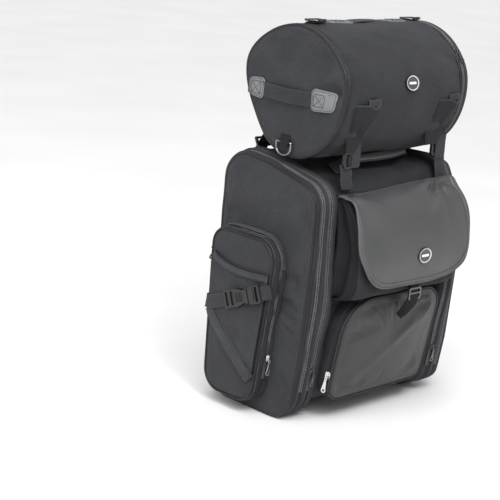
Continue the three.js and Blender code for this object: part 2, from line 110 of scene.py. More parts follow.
def add_ramp(tree, fac, low, high, low_colour, high_colour):
    node = tree.nodes.new("ShaderNodeValToRGB")
    node.color_ramp.elements[0].position = low
    node.color_ramp.elements[1].position = high
    node.color_ramp.elements[0].color = (*low_colour, 1)
    node.color_ramp.elements[1].color = (*high_colour, 1)
    tree.links.new(fac, node.inputs["Fac"])
    return node.outputs["Color"]


def add_bump(tree, shader, height, strength, distance_mm, under=None):
    node = tree.nodes.new("ShaderNodeBump")
    node.inputs["Strength"].default_value = strength
    node.inputs["Distance"].default_value = distance_mm * MM
    tree.links.new(height, node.inputs["Height"])
    if under is not None:
        tree.links.new(under, node.inputs["Normal"])
    tree.links.new(node.outputs["Normal"], shader.inputs["Normal"])
    return node.outputs["Normal"]


def shade(colour, k):
    return tuple(min(1.0, c * k) for c in colour)


def woven(name, colour, pitch_mm=1.1, depth=0.5, rough=(0.72, 0.9), sheen=0.06, spread=0.16):
    """Woven fabric: a square weave, slubs, slow colour drift and a painted highlight on convex edges."""
    mat, tree, shader, coords = new_material(name)
    drift = add_noise(tree, coords, 55, 4)
    base = add_ramp(tree, drift, 0.3, 0.72, shade(colour, 1 - spread), shade(colour, 1 + spread))
    slub = add_noise(tree, coords, 2.4, 2)
    fine = add_ramp(tree, slub, 0.3, 0.7, (0.80, 0.80, 0.80), (1.2, 1.2, 1.2))
    mix = tree.nodes.new("ShaderNodeMixRGB")
    mix.blend_type = "MULTIPLY"
    mix.inputs["Fac"].default_value = 1
    tree.links.new(base, mix.inputs["Color1"])
    tree.links.new(fine, mix.inputs["Color2"])
    # Painted highlight: the colour is lightened where the surface is convex (high pointiness).
    edge = tree.nodes.new("ShaderNodeNewGeometry").outputs["Pointiness"]
    edge_highlight = add_ramp(tree, edge, 0.5, 0.62, (0, 0, 0), shade(colour, 0.9))
    with_edge_highlight = tree.nodes.new("ShaderNodeMixRGB")
    with_edge_highlight.blend_type = "ADD"
    with_edge_highlight.inputs["Fac"].default_value = 0.5
    tree.links.new(mix.outputs[0], with_edge_highlight.inputs["Color1"])
    tree.links.new(edge_highlight, with_edge_highlight.inputs["Color2"])
    tree.links.new(with_edge_highlight.outputs[0], shader.inputs["Base Color"])
    rough_map = tree.nodes.new("ShaderNodeMapRange")
    rough_map.inputs["To Min"].default_value = rough[0]
    rough_map.inputs["To Max"].default_value = rough[1]
    tree.links.new(drift, rough_map.inputs["Value"])
    tree.links.new(rough_map.outputs[0], shader.inputs["Roughness"])
    shader.inputs["Sheen Weight"].default_value = sheen
    shader.inputs["Sheen Roughness"].default_value = 0.5
    shader.inputs["Specular IOR Level"].default_value = 0.22
    threads = None
    for axis in "XYZ":
        band = add_bands(tree, coords, axis, pitch_mm)
        threads = band if threads is None else add_math(tree, "ADD", threads, band)
    first = add_bump(tree, shader, threads, depth, 0.25)
    soft = add_noise(tree, coords, 9, 3)
    add_bump(tree, shader, soft, 0.35, 0.9, first)
    return mat


def grained(name, colour, rough=(0.42, 0.58), grain_mm=1.3):
    """Leatherette: a fine pebble grain over slow unevenness, with a soft sheen."""
    mat, tree, shader, coords = new_material(name)
    drift = add_noise(tree, coords, 70, 4)
    base = add_ramp(tree, drift, 0.3, 0.75, shade(colour, 0.88), shade(colour, 1.14))
    tree.links.new(base, shader.inputs["Base Color"])
    rough_map = tree.nodes.new("ShaderNodeMapRange")
    rough_map.inputs["To Min"].default_value = rough[0]
    rough_map.inputs["To Max"].default_value = rough[1]
    tree.links.new(add_noise(tree, coords, 18, 3), rough_map.inputs["Value"])
    tree.links.new(rough_map.outputs[0], shader.inputs["Roughness"])
    shader.inputs["Specular IOR Level"].default_value = 0.5
    cells = tree.nodes.new("ShaderNodeTexVoronoi")
    cells.feature = "DISTANCE_TO_EDGE"
    cells.inputs["Scale"].default_value = 1 / (grain_mm * MM)
    tree.links.new(coords, cells.inputs["Vector"])
    first = add_bump(tree, shader, cells.outputs["Distance"], 0.35, 0.25)
    add_bump(tree, shader, add_noise(tree, coords, 12, 3), 0.25, 0.8, first)
    return mat


def net(name, colour):
    """Open diamond mesh: the holes between the threads are clear."""
    mat, tree, shader, coords = new_material(name)
    split = tree.nodes.new("ShaderNodeSeparateXYZ")
    tree.links.new(coords, split.inputs[0])
    waves = []
    for operation in ("ADD", "SUBTRACT"):
        along = add_math(tree, operation, split.outputs["Y"], split.outputs["Z"])
        turned = add_math(tree, "MULTIPLY", along, 2 * math.pi / (7.4 * MM))
        waves.append(add_math(tree, "ABSOLUTE", add_math(tree, "SINE", turned, 0), 0))
    thread = add_math(tree, "MINIMUM", waves[0], waves[1])
    solid = add_math(tree, "LESS_THAN", thread, 0.42)
    height = add_math(tree, "SUBTRACT", 1.0, thread)
    base = add_ramp(tree, add_noise(tree, coords, 30, 3), 0.3, 0.7, shade(colour, 0.85), shade(colour, 1.2))
    tree.links.new(base, shader.inputs["Base Color"])
    shader.inputs["Roughness"].default_value = 0.8
    add_bump(tree, shader, height, 0.8, 0.6)
    tree.links.new(solid, shader.inputs["Alpha"])
    return mat


def moulded(name, colour, rough=0.42):
    """Moulded plastic with a fine spark texture."""
    mat, tree, shader, coords = new_material(name)
    base = add_ramp(tree, add_noise(tree, coords, 14, 3), 0.3, 0.7, shade(colour, 0.85), shade(colour, 1.2))
    tree.links.new(base, shader.inputs["Base Color"])
    rough_map = tree.nodes.new("ShaderNodeMapRange")
    rough_map.inputs["To Min"].default_value = rough - 0.08
    rough_map.inputs["To Max"].default_value = rough + 0.1
    tree.links.new(add_noise(tree, coords, 4, 2), rough_map.inputs["Value"])
    tree.links.new(rough_map.outputs[0], shader.inputs["Roughness"])
    add_bump(tree, shader, add_noise(tree, coords, 0.7, 2), 0.25, 0.15)
    return mat


def plated(name, colour, rough=(0.16, 0.34)):
    """Plated metal with slight unevenness and hairline scratches."""
    mat, tree, shader, coords = new_material(name)
    base = add_ramp(tree, add_noise(tree, coords, 10, 3), 0.3, 0.7, shade(colour, 0.85), shade(colour, 1.1))
    tree.links.new(base, shader.inputs["Base Color"])
    shader.inputs["Metallic"].default_value = 1
    rough_map = tree.nodes.new("ShaderNodeMapRange")
    rough_map.inputs["To Min"].default_value = rough[0]
    rough_map.inputs["To Max"].default_value = rough[1]
    tree.links.new(add_noise(tree, coords, 3, 4), rough_map.inputs["Value"])
    tree.links.new(rough_map.outputs[0], shader.inputs["Roughness"])
    add_bump(tree, shader, add_noise(tree, coords, 1.2, 3), 0.12, 0.1)
    return mat


CHARCOAL = (0.034, 0.035, 0.040)
FABRIC = woven("charcoal_weave", CHARCOAL)
# Darker copy of the cloth: painted shade on the middle skin, whose rear face is turned from the light.
FABRIC_REAR_SHADED = woven("charcoal_weave_rear_painted_shade", shade(CHARCOAL, 0.72), sheen=0.03)
FABRIC_ROLL = woven("charcoal_weave_roll", shade(CHARCOAL, 0.8))
FABRIC_CAP = woven("charcoal_weave_cap", shade(CHARCOAL, 1.0))
# Darker copy of the cloth: painted shade on gussets, linings, sleeves and parts tucked under others.
FABRIC_SHADED = woven("charcoal_weave_painted_shade", shade(CHARCOAL, 0.55), sheen=0.02)
# Lighter copy of the cloth: painted highlight along the raised lips, hems and bindings.
TRIM_RIDGE_HIGHLIGHT = woven("trim_tape_ridge_highlight", shade(CHARCOAL, 1.35), pitch_mm=1.5, depth=0.7)
WEBBING = woven("nylon_webbing", shade(CHARCOAL, 0.8), pitch_mm=1.9, depth=0.9, sheen=0.1)
WEBBING_DARK = woven("nylon_webbing_dark", shade(CHARCOAL, 0.3), pitch_mm=1.9, depth=0.9, sheen=0.05)
TAPE = woven("zip_tape", shade(CHARCOAL, 0.35), pitch_mm=0.9, depth=0.6, sheen=0.0)
NET = net("open_mesh", shade(CHARCOAL, 1.8))
LEATHER = grained("grey_leatherette", (0.064, 0.065, 0.067), rough=(0.36, 0.5))
# Darker copy of the leatherette: painted shade on the lower rear panel.
LEATHER_LOW_SHADED = grained("grey_leatherette_low_painted_shade", (0.027, 0.0275, 0.029), rough=(0.36, 0.5))
# Lighter copy of the leatherette: painted highlight on the flap's raised border and the handle's edges.
BORDER_HIGHLIGHT = grained("grey_leatherette_border_highlight", (0.085, 0.086, 0.088), grain_mm=1.0)
PATCH = grained("light_grey_leatherette", (0.165, 0.175, 0.183), grain_mm=1.0)
PIPING = grained("black_piping", (0.007, 0.007, 0.008), rough=(0.4, 0.55), grain_mm=0.8)
COIL = moulded("zip_coil", (0.10, 0.101, 0.106), 0.36)
PLASTIC = moulded("black_plastic", (0.010, 0.010, 0.011), 0.34)
CHROME = plated("bright_plate", (0.72, 0.72, 0.71))
RING_METAL = plated("ring_plate", (0.27, 0.27, 0.27), (0.2, 0.36))
# Near-black copy of the cloth: painted shade on the upper pocket's recessed sides.
FABRIC_SIDE_SHADE = woven("charcoal_weave_side_shade", shade(CHARCOAL, 0.3), sheen=0.0)
# Darker copy of the cloth: painted shade on the zip bands between the panels.
FABRIC_BAND_SHADED = woven("charcoal_weave_band_painted_shade", shade(CHARCOAL, 0.72), sheen=0.03)
GUNMETAL = plated("dark_plate", (0.16, 0.16, 0.165), (0.2, 0.36))
THREAD = woven("sewing_thread", (0.006, 0.006, 0.007), pitch_mm=0.6, sheen=0.0)
BADGE_FIELD = moulded("badge_enamel", (0.07, 0.071, 0.075), 0.25)
BADGE_RING = moulded("badge_print", (0.78, 0.78, 0.78), 0.4)
BOARD = moulded("stiffener_board", (0.02, 0.02, 0.02), 0.6)


# ------------------------------------------------------------------ mesh helpers, in millimetres
def piece(
    name, verts, faces, mats, body, replaces=(), slot=None, face_mats=None, thick=0, smooth=True, bevel=0
):
    mesh = bpy.data.meshes.new(name)
    mesh.from_pydata([tuple(float(c) * MM for c in v) for v in verts], [], [tuple(f) for f in faces])
    for mat in mats if isinstance(mats, (list, tuple)) else [mats]:
        mesh.materials.append(mat)
    if face_mats is not None:
        mesh.polygons.foreach_set("material_index", face_mats)
    mesh.polygons.foreach_set("use_smooth", [smooth] * len(mesh.polygons))
    work = bmesh.new()
    work.from_mesh(mesh)
    bmesh.ops.remove_doubles(work, verts=work.verts, dist=1e-6)
    bmesh.ops.recalc_face_normals(work, faces=work.faces)
    work.to_mesh(mesh)
    work.free()
    obj = bpy.data.objects.new(name, mesh)
    bpy.context.scene.collection.objects.link(obj)
    if thick:
        solid = obj.modifiers.new("thickness", "SOLIDIFY")
        solid.thickness = thick * MM
        solid.offset = 0
    if bevel:
        round_off = obj.modifiers.new("rounding", "BEVEL")
        round_off.width = bevel * MM
        round_off.segments = 3
        round_off.limit_method = "ANGLE"
        round_off.angle_limit = math.radians(35)
    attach(obj, body)
    if replaces:
        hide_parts(*([replaces] if isinstance(replaces, str) else replaces))
    return obj


def grid_faces(rows, cols, wrap_cols=False, wrap_rows=False):
    faces = []
    for r in range(rows if wrap_rows else rows - 1):
        for c in range(cols if wrap_cols else cols - 1):
            r2, c2 = (r + 1) % rows, (c + 1) % cols
            faces.append((r * cols + c, r * cols + c2, r2 * cols + c2, r2 * cols + c))
    return faces


def resample(points, n, closed):
    """n points equally spaced along a polyline."""
    pts = np.asarray(points, float)
    if closed:
        pts = np.vstack([pts, pts[:1]])
    step = np.linalg.norm(np.diff(pts, axis=0), axis=1)
    s = np.concatenate([[0], np.cumsum(step)])
    at = np.linspace(0, s[-1], n + 1)[:-1] if closed else np.linspace(0, s[-1], n)
    return np.stack([np.interp(at, s, pts[:, k]) for k in range(pts.shape[1])], axis=1)


def rounded(corners, n=200, smoothing=2):
    """Corners [a, b, radius], anticlockwise, to n evenly spaced points.
    It starts at the middle of the first side (from the last corner to the first)."""
    pts = []
    count = len(corners)
    for i, (a, b, radius) in enumerate(corners):
        here = np.array([a, b], float)
        back = np.array(corners[i - 1][:2], float) - here
        ahead = np.array(corners[(i + 1) % count][:2], float) - here
        back /= np.linalg.norm(back)
        ahead /= np.linalg.norm(ahead)
        half = math.acos(np.clip(back @ ahead, -1, 1)) / 2
        reach = radius / math.tan(half)
        start, end = here + back * reach, here + ahead * reach
        middle = back + ahead
        centre = here + middle / np.linalg.norm(middle) * radius / math.sin(half)
        a0 = math.atan2(*(start - centre)[::-1])
        turn = (math.atan2(*(end - centre)[::-1]) - a0 + math.pi) % (2 * math.pi) - math.pi
        for k in range(9):
            angle = a0 + turn * k / 8
            pts.append(centre + radius * np.array([math.cos(angle), math.sin(angle)]))
    pts = np.array(pts)
    first = (pts[0] + pts[-1]) / 2
    pts = resample(np.vstack([[first], pts]), n, True)
    for _ in range(smoothing):
        pts = (np.roll(pts, 1, 0) + 2 * pts + np.roll(pts, -1, 0)) / 4
    return pts


def outward(pts, closed=True):
    if closed:
        t = np.roll(pts, -1, 0) - np.roll(pts, 1, 0)
    else:
        t = np.gradient(pts, axis=0)
    t /= np.maximum(np.linalg.norm(t, axis=1, keepdims=True), 1e-9)
    return np.stack([t[:, 1], -t[:, 0]], axis=1)


def wobble(p, size, seed=0.0):
    return noise.noise(Vector((p[0] / size + seed, p[1] / size - seed, p[2] / size + 2 * seed)))


def sweep(path, side, out, section, closed=False):
    """Vertices and faces of a closed section [(across, up)] carried along a path with unit frames."""
    rows = len(path)
    verts = []
    for p, s, o in zip(path, side, out):
        verts += [p + s * a + o * b for a, b in section]
    cols = len(section)
    faces = grid_faces(rows, cols, True, closed)
    if not closed:
        faces += [tuple(range(cols))[::-1], tuple((rows - 1) * cols + k for k in range(cols))]
    return verts, faces


def frames_along(path, hint, closed=False):
    """Unit side vectors across a path and outward vectors near hint (one vector or one per point)."""
    path = np.asarray(path, float)
    t = np.roll(path, -1, 0) - np.roll(path, 1, 0) if closed else np.gradient(path, axis=0)
    t /= np.maximum(np.linalg.norm(t, axis=1, keepdims=True), 1e-9)
    hint = np.broadcast_to(np.asarray(hint, float), path.shape)
    side = np.cross(t, hint)
    side /= np.maximum(np.linalg.norm(side, axis=1, keepdims=True), 1e-9)
    out = np.cross(side, t)
    return side, out


def tube(name, path, hint, radius, mat, body, closed=False, sides=8, squash=1.0, **more):
    side, out = frames_along(path, hint, closed)
    section = [
        (radius * math.cos(2 * math.pi * k / sides), radius * squash * math.sin(2 * math.pi * k / sides))
        for k in range(sides)
    ]
    verts, faces = sweep(np.asarray(path, float), side, out, section, closed)
    return piece(name, verts, faces, mat, body, **more)


def strap(name, path, hint, wide, thick, mat, body, **more):
    """Webbing with rounded edges; its ends are cut square."""
    side, out = frames_along(path, hint)
    w, t = wide / 2, thick / 2
    section = [
        (-w, 0), (-w + t * 0.4, t * 0.9), (-w + 1.6 * t, t), (-w * 0.5, t * 1.05), (0, t * 1.1), (
            w * 0.5, t * 1.05
        ),
        (w - 1.6 * t, t), (w - t * 0.4, t * 0.9), (w, 0), (w - t * 0.4, -t * 0.9), (w - 1.6 * t, -t), (0, -t),
        (-w + 1.6 * t, -t), (-w + t * 0.4, -t * 0.9),
    ]
    verts, faces = sweep(np.asarray(path, float), side, out, section)
    return piece(name, verts, faces, mat, body, **more)


def curve_through(points, n, closed=False):
    """Smooth curve through control points of any dimension, resampled evenly."""
    pts = np.asarray(points, float)
    count = len(pts)
    dense = []
    spans = count if closed else count - 1
    for i in range(spans):
        if closed:
            p0, p1, p2, p3 = (pts[(i + k) % count] for k in (-1, 0, 1, 2))
        else:
            p1, p2 = pts[i], pts[i + 1]
            p0 = pts[i - 1] if i else 2 * p1 - p2
            p3 = pts[i + 2] if i + 2 < count else 2 * p2 - p1
        for u in np.linspace(0, 1, 12, endpoint=False):
            dense.append(
                0.5 * (
                    2 * p1 + (p2 - p0) * u + (2 * p0 - 5 * p1 + 4 * p2 - p3) * u**2
                    + (3 * p1 - p0 - 3 * p2 + p3) * u**3
                )
            )
    if not closed:
        dense.append(pts[-1])
    return resample(dense, n, closed)


def plate(name, outline, holes, place, low, high, mat, body, **more):
    """A flat plate with holes: 2-D outline and holes, placed by place(a, b, height)."""
    loops = [outline] + list(holes)
    flat = [[Vector((float(a), float(b), 0)) for a, b in loop] for loop in loops]
    tris = tessellate_polygon(flat)
    points = [p for loop in loops for p in loop]
    count = len(points)
    verts = [place(a, b, low) for a, b in points] + [place(a, b, high) for a, b in points]
    faces = [tuple(t) for t in tris] + [tuple(i + count for i in t[::-1]) for t in tris]
    start = 0
    for loop in loops:
        n = len(loop)
        for k in range(n):
            a, b = start + k, start + (k + 1) % n
            faces.append((a, b, b + count, a + count))
        start += n
    more.setdefault("smooth", False)
    return piece(name, verts, faces, mat, body, **more)


def box_loop(a0, a1, b0, b1, radius=2.0, n=28):
    r = min(radius, abs(a1 - a0) / 2 - 0.01, abs(b1 - b0) / 2 - 0.01)
    return [tuple(p) for p in rounded([[a0, b0, r], [a1, b0, r], [a1, b1, r], [a0, b1, r]], n, 0)]


def ring_loop(a, b, radius, n=24):
    return [
        (a + radius * math.cos(2 * math.pi * k / n), b + radius * math.sin(2 * math.pi * k / n))
        for k in range(n)
    ]


def panel(
    name, loop, edge, crown, place, mats, body, shrink=(0.95, 0.88, 0.78, 0.66, 0.52, 0.38, 0.24, 0.1),
    **more
):
    """A panel built in rings from its edge to its middle.
    edge: rows (inset, height, material index) near the rim.
    crown(a, b, f): height inside, f from 1 at the rim to 0.
    place(a, b, height) gives the point."""
    normals = outward(loop)
    verts, mat_rows = [], []
    for inset, height, index in edge:
        ring = loop - normals * inset
        verts += [place(a, b, height) for a, b in ring]
        mat_rows.append(index)
    last, last_height = loop - normals * edge[-1][0], edge[-1][1]
    middle = last.mean(axis=0)
    for f in shrink:
        ring = middle + (last - middle) * f
        verts += [place(a, b, last_height + crown(a, b, f)) for a, b in ring]
        mat_rows.append(edge[-1][2])
    verts.append(place(*middle, last_height + crown(*middle, 0)))
    n = len(loop)
    rows = len(edge) + len(shrink)
    faces = grid_faces(rows, n, True)
    face_mats = [mat_rows[r] for r in range(rows - 1) for _ in range(n)]
    base = (rows - 1) * n
    faces += [(base + k, base + (k + 1) % n, rows * n) for k in range(n)]
    face_mats += [mat_rows[-1]] * n
    return piece(name, verts, faces, mats, body, face_mats=face_mats, **more)


def settle_cloth(obj, border, limit, slack=-0.035, push=3.0):
    """Lets a padded piece find its own folds: a short cloth simulation between its seams.

    Vertices within border mm of an edge are held. The simulated movement is squeezed smoothly
    to under limit mm, so only a small part of a large movement is kept.
    """
    mesh = obj.data
    work = bmesh.new()
    work.from_mesh(mesh)
    rim = [v.co.copy() for v in work.verts if v.is_boundary]
    work.free()
    tree = kdtree.KDTree(len(rim))
    for i, co in enumerate(rim):
        tree.insert(co, i)
    tree.balance()
    held = [v.index for v in mesh.vertices if tree.find(v.co)[2] < border * MM]
    group = obj.vertex_groups.new(name="seams")
    group.add(held, 1.0, "REPLACE")
    others = list(obj.modifiers)
    for m in others:
        m.show_viewport = False
    cloth = obj.modifiers.new("cloth", "CLOTH")
    cloth.settings.vertex_group_mass = "seams"
    cloth.settings.effector_weights.gravity = 0
    cloth.settings.use_pressure = True
    cloth.settings.uniform_pressure_force = push
    cloth.settings.shrink_min = slack
    cloth.settings.bending_stiffness = 0.3
    cloth.settings.quality = 4
    cloth.point_cache.frame_start = 1
    cloth.point_cache.frame_end = SETTLE_FRAMES
    scene = bpy.context.scene
    for step in range(1, SETTLE_FRAMES + 1):
        scene.frame_set(step)
    settled = obj.evaluated_get(bpy.context.evaluated_depsgraph_get()).to_mesh()
    after = np.array([v.co[:] for v in settled.vertices])
    before = np.array([v.co[:] for v in mesh.vertices])
    moved = after - before
    size = np.linalg.norm(moved, axis=1, keepdims=True)
    moved *= limit * MM * np.tanh(size / (limit * MM)) / np.maximum(size, 1e-9)
    mesh.vertices.foreach_set("co", (before + moved).ravel())
    obj.modifiers.remove(cloth)
    obj.vertex_groups.remove(group)
    scene.frame_set(1)
    for m in others:
        m.show_viewport = True
    print(
        "settled", obj.name, round(float(size.max()) * 1000, 1), "mm at most,", len(held), "held of",
        len(mesh.vertices)
    )


def zip_line(name, path, out_hint, body, closed=False, pitch=3.2, coil=2.4, tape=7.0, **more):
    """A closed coil zip: two rows of teeth on a woven tape, following a path."""
    path = np.asarray(path, float)
    length = np.linalg.norm(np.diff(path, axis=0), axis=1).sum()
    n = max(12, int(length / pitch) * 3)
    hint = np.broadcast_to(np.asarray(out_hint, float), path.shape)
    both = resample(np.hstack([path, hint]), n, closed)
    path, hint = both[:, :3], both[:, 3:]
    side, out = frames_along(path, hint, closed)
    verts, faces = [], []
    for row in (-1, 1):
        base = len(verts)
        cols = 6
        for i, (p, s, o) in enumerate(zip(path, side, out)):
            swell = 1.0 if (i + (row > 0)) % 3 else 0.3
            for k in range(cols):
                angle = 2 * math.pi * k / cols
                across = row * coil * 0.58 + coil * 0.44 * swell * math.cos(angle)
                verts.append(p + s * across + o * (0.9 + coil * 0.42 * swell * math.sin(angle)))
        faces += [tuple(base + v for v in f) for f in grid_faces(n, cols, True, closed)]
    coil_faces = len(faces)
    base = len(verts)
    section = [(-tape, 0), (-tape, 0.7), (tape, 0.7), (tape, 0)]
    for p, s, o in zip(path, side, out):
        verts += [p + s * a + o * b for a, b in section]
    faces += [tuple(base + v for v in f) for f in grid_faces(n, 4, True, closed)]
    face_mats = [0] * coil_faces + [1] * (len(faces) - coil_faces)
    return piece(name, verts, faces, [COIL, TAPE], body, face_mats=face_mats, **more)


def stitches(name, path, hint, body, mat=THREAD, pitch=4.6, dash=3.2, radius=0.38, lift=0.25, closed=False):
    """A row of separate short stitches along a path."""
    path = np.asarray(path, float)
    loop = np.vstack([path, path[:1]]) if closed else path
    hint = np.broadcast_to(np.asarray(hint, float), path.shape)
    hints = np.vstack([hint, hint[:1]]) if closed else hint
    step = np.linalg.norm(np.diff(loop, axis=0), axis=1)
    s = np.concatenate([[0], np.cumsum(step)])

    def at(d, data):
        return np.array([np.interp(d, s, data[:, k]) for k in range(3)])

    verts, faces = [], []
    for i in range(int(s[-1] / pitch)):
        d = (i + 0.5) * pitch
        a, b = at(d - dash / 2, loop), at(d + dash / 2, loop)
        o = at(d, hints)
        o = o / max(np.linalg.norm(o), 1e-9)
        t = (b - a) / max(np.linalg.norm(b - a), 1e-9)
        w = np.cross(t, o)
        base = len(verts)
        for end, rise, slim in ((a, -0.15, 0.5), ((a + b) / 2, lift, 1.0), (b, -0.15, 0.5)):
            for k in range(5):
                angle = 2 * math.pi * k / 5
                verts.append(
                    end + o * (rise + radius * slim * math.sin(angle)) + w * radius * slim * math.cos(angle)
                )
        faces += [tuple(base + v for v in f) for f in grid_faces(3, 5, True)]
        faces += [tuple(base + k for k in range(5))[::-1], tuple(base + 10 + k for k in range(5))]
    return piece(name, verts, faces, mat, body)


def ease(v, low, high):
    u = min(1.0, max(0.0, (v - low) / (high - low)))
    return u * u * (3 - 2 * u)

# ------------------------------------------------------------------ side profile of the main bag, as (y, z)
PROFILE = rounded(
    [
        [100, 0, 34],
        [110, 220, 160],
        [107, 444, 46],
        [10, 434, 160],
        [-106, 407, 36],
        [-107, 290, 160],
        [-98, 110, 160],
        [-83, 0, 44],
    ],
    260,
)
PROFILE_OUT = outward(PROFILE)
N = len(PROFILE)


def rear_foot_lift(x, y, z):
    """The middle's rear lower edge is rounded more deeply than the sides' edges."""
    return 20 * ease(-y, 0, 92) * (1 - ease(z, 0, 62)) * (1 - ease(abs(x), 120, 144))


def fuller_rear(x, y, z):
    """The bands bulge at mid height, and the right side's rear edge stands further back."""
    bulge = 9 * math.exp(-(((z - 215) / 62) ** 2)) * ease(abs(x), 112, 138) * (1 - ease(abs(x), 150, 178))
    right = 26 * ease(x, 112, 160) * ease(z, -12, 40) * (1 - ease(z, 270, 400))
    return -(bulge + right) * ease(-y, 0, 95)


def fuller_top(x, y, z):
    """On the right the top stands higher behind the roll."""
    return 14 * ease(x, 50, 140) * ease(-y, -10, 66) * (1 - ease(-y, 84, 106)) * ease(z, 370, 410)


def profile_ring(x, off, front=0.0, lumps=0.0, seed=0.0):
    """The profile at x, swollen by off except under the bag; front adds to it on the front face."""
    ring = []
    for (y, z), (ny, nz) in zip(PROFILE, PROFILE_OUT):
        fade = ease(z, 2, 52)
        swell = (off + front * ease(y, 60, 104)) * fade
        if lumps:
            swell += lumps * fade * (wobble((x, y, z), 46, seed) + 0.4 * wobble((x, y, z), 19, seed + 3))
        ring.append(
            (
                x, y + ny * swell + fuller_rear(x, y, z),
                z + nz * swell + rear_foot_lift(x, y, z) + fuller_top(x, y, z)
            )
        )
    return ring


def profile_path(x, off, start=0.0, end=1.0, n=300):
    """Points and outward directions on the profile between two shares of its length."""
    pts = np.array(
        [
            (
                x, y + ny * off * ease(z, 2, 52) + fuller_rear(x, y, z),
                z + nz * off * ease(z, 2, 52) + fuller_top(x, y, z)
            ) for (y, z),
            (ny, nz) in zip(PROFILE, PROFILE_OUT)
        ]
    )
    nrm = np.array([(0, ny, nz) for ny, nz in PROFILE_OUT])
    if start == 0 and end == 1:
        return pts, nrm
    idx = np.linspace(start * N, end * N, n)
    grid = np.arange(N + 1)
    pts = np.vstack([pts, pts[:1]])
    nrm = np.vstack([nrm, nrm[:1]])
    both = np.stack([np.interp(idx, grid, np.hstack([pts, nrm])[:, k]) for k in range(6)], axis=1)
    return both[:, :3], both[:, 3:]


# Cross-section of the zip band from the middle outwards: (|x|, swell).
BAND_IN = [
    (131.5, 2.5), (133.0, 4), (134.6, 7), (136.5, 9), (139.5, 9.8), (142.5, 9.2), (144.2, 7.0),
    (145.2, 5.2), (149.9, 5.0)
]
BAND_OUT = [
    (150.4, 5.0), (152.0, 5.6), (153.6, 8.2), (156.0, 9.2), (159.0, 8.2), (160.4, 5.2),
    (161.4, 4.2), (168.0, 4.0), (169.0, 6.0), (171.6, 5.6), (175.5, 3.8), (179.3, 1.2),
]
ZIP_INNER = 147.7
ZIP_OUTER = 164.7


def build_middle():
    """The fixed middle of the main bag, all in one skin, with the inner halves of both bands."""
    inner = [(-x, off) for x, off in reversed(BAND_IN)]
    middle = [(x, 3.5 + 5.5 * (1 - (x / 131) ** 2)) for x in np.linspace(-127, 127, 30)]
    outer = [(x, off) for x, off in BAND_IN]
    rows = []
    for x, off in inner + middle + outer:
        calm = 1.0 if abs(x) < 128 else 0.3
        rows += profile_ring(x, off, front=3 if abs(x) > 130 else 0, lumps=3.4 * calm, seed=1.7)
    count = len(inner + middle + outer)
    # The skin uses the darker copy of the cloth: painted shade on its rear face.
    body = piece(
        "main_body_cloth", rows, grid_faces(count, N, True), FABRIC_REAR_SHADED, "main", replaces="main_shell",
        slot="fabric", thick=2.4
    )
    board = plate(
        "base_board_panel", box_loop(-136, 136, -34, 68, 12, 40), [], lambda a, b, h: (a, b, 3.6 + h), 0,
        3.6, BOARD, "main", bevel=0.8, replaces="base_board", slot="board"
    )
    return body, board


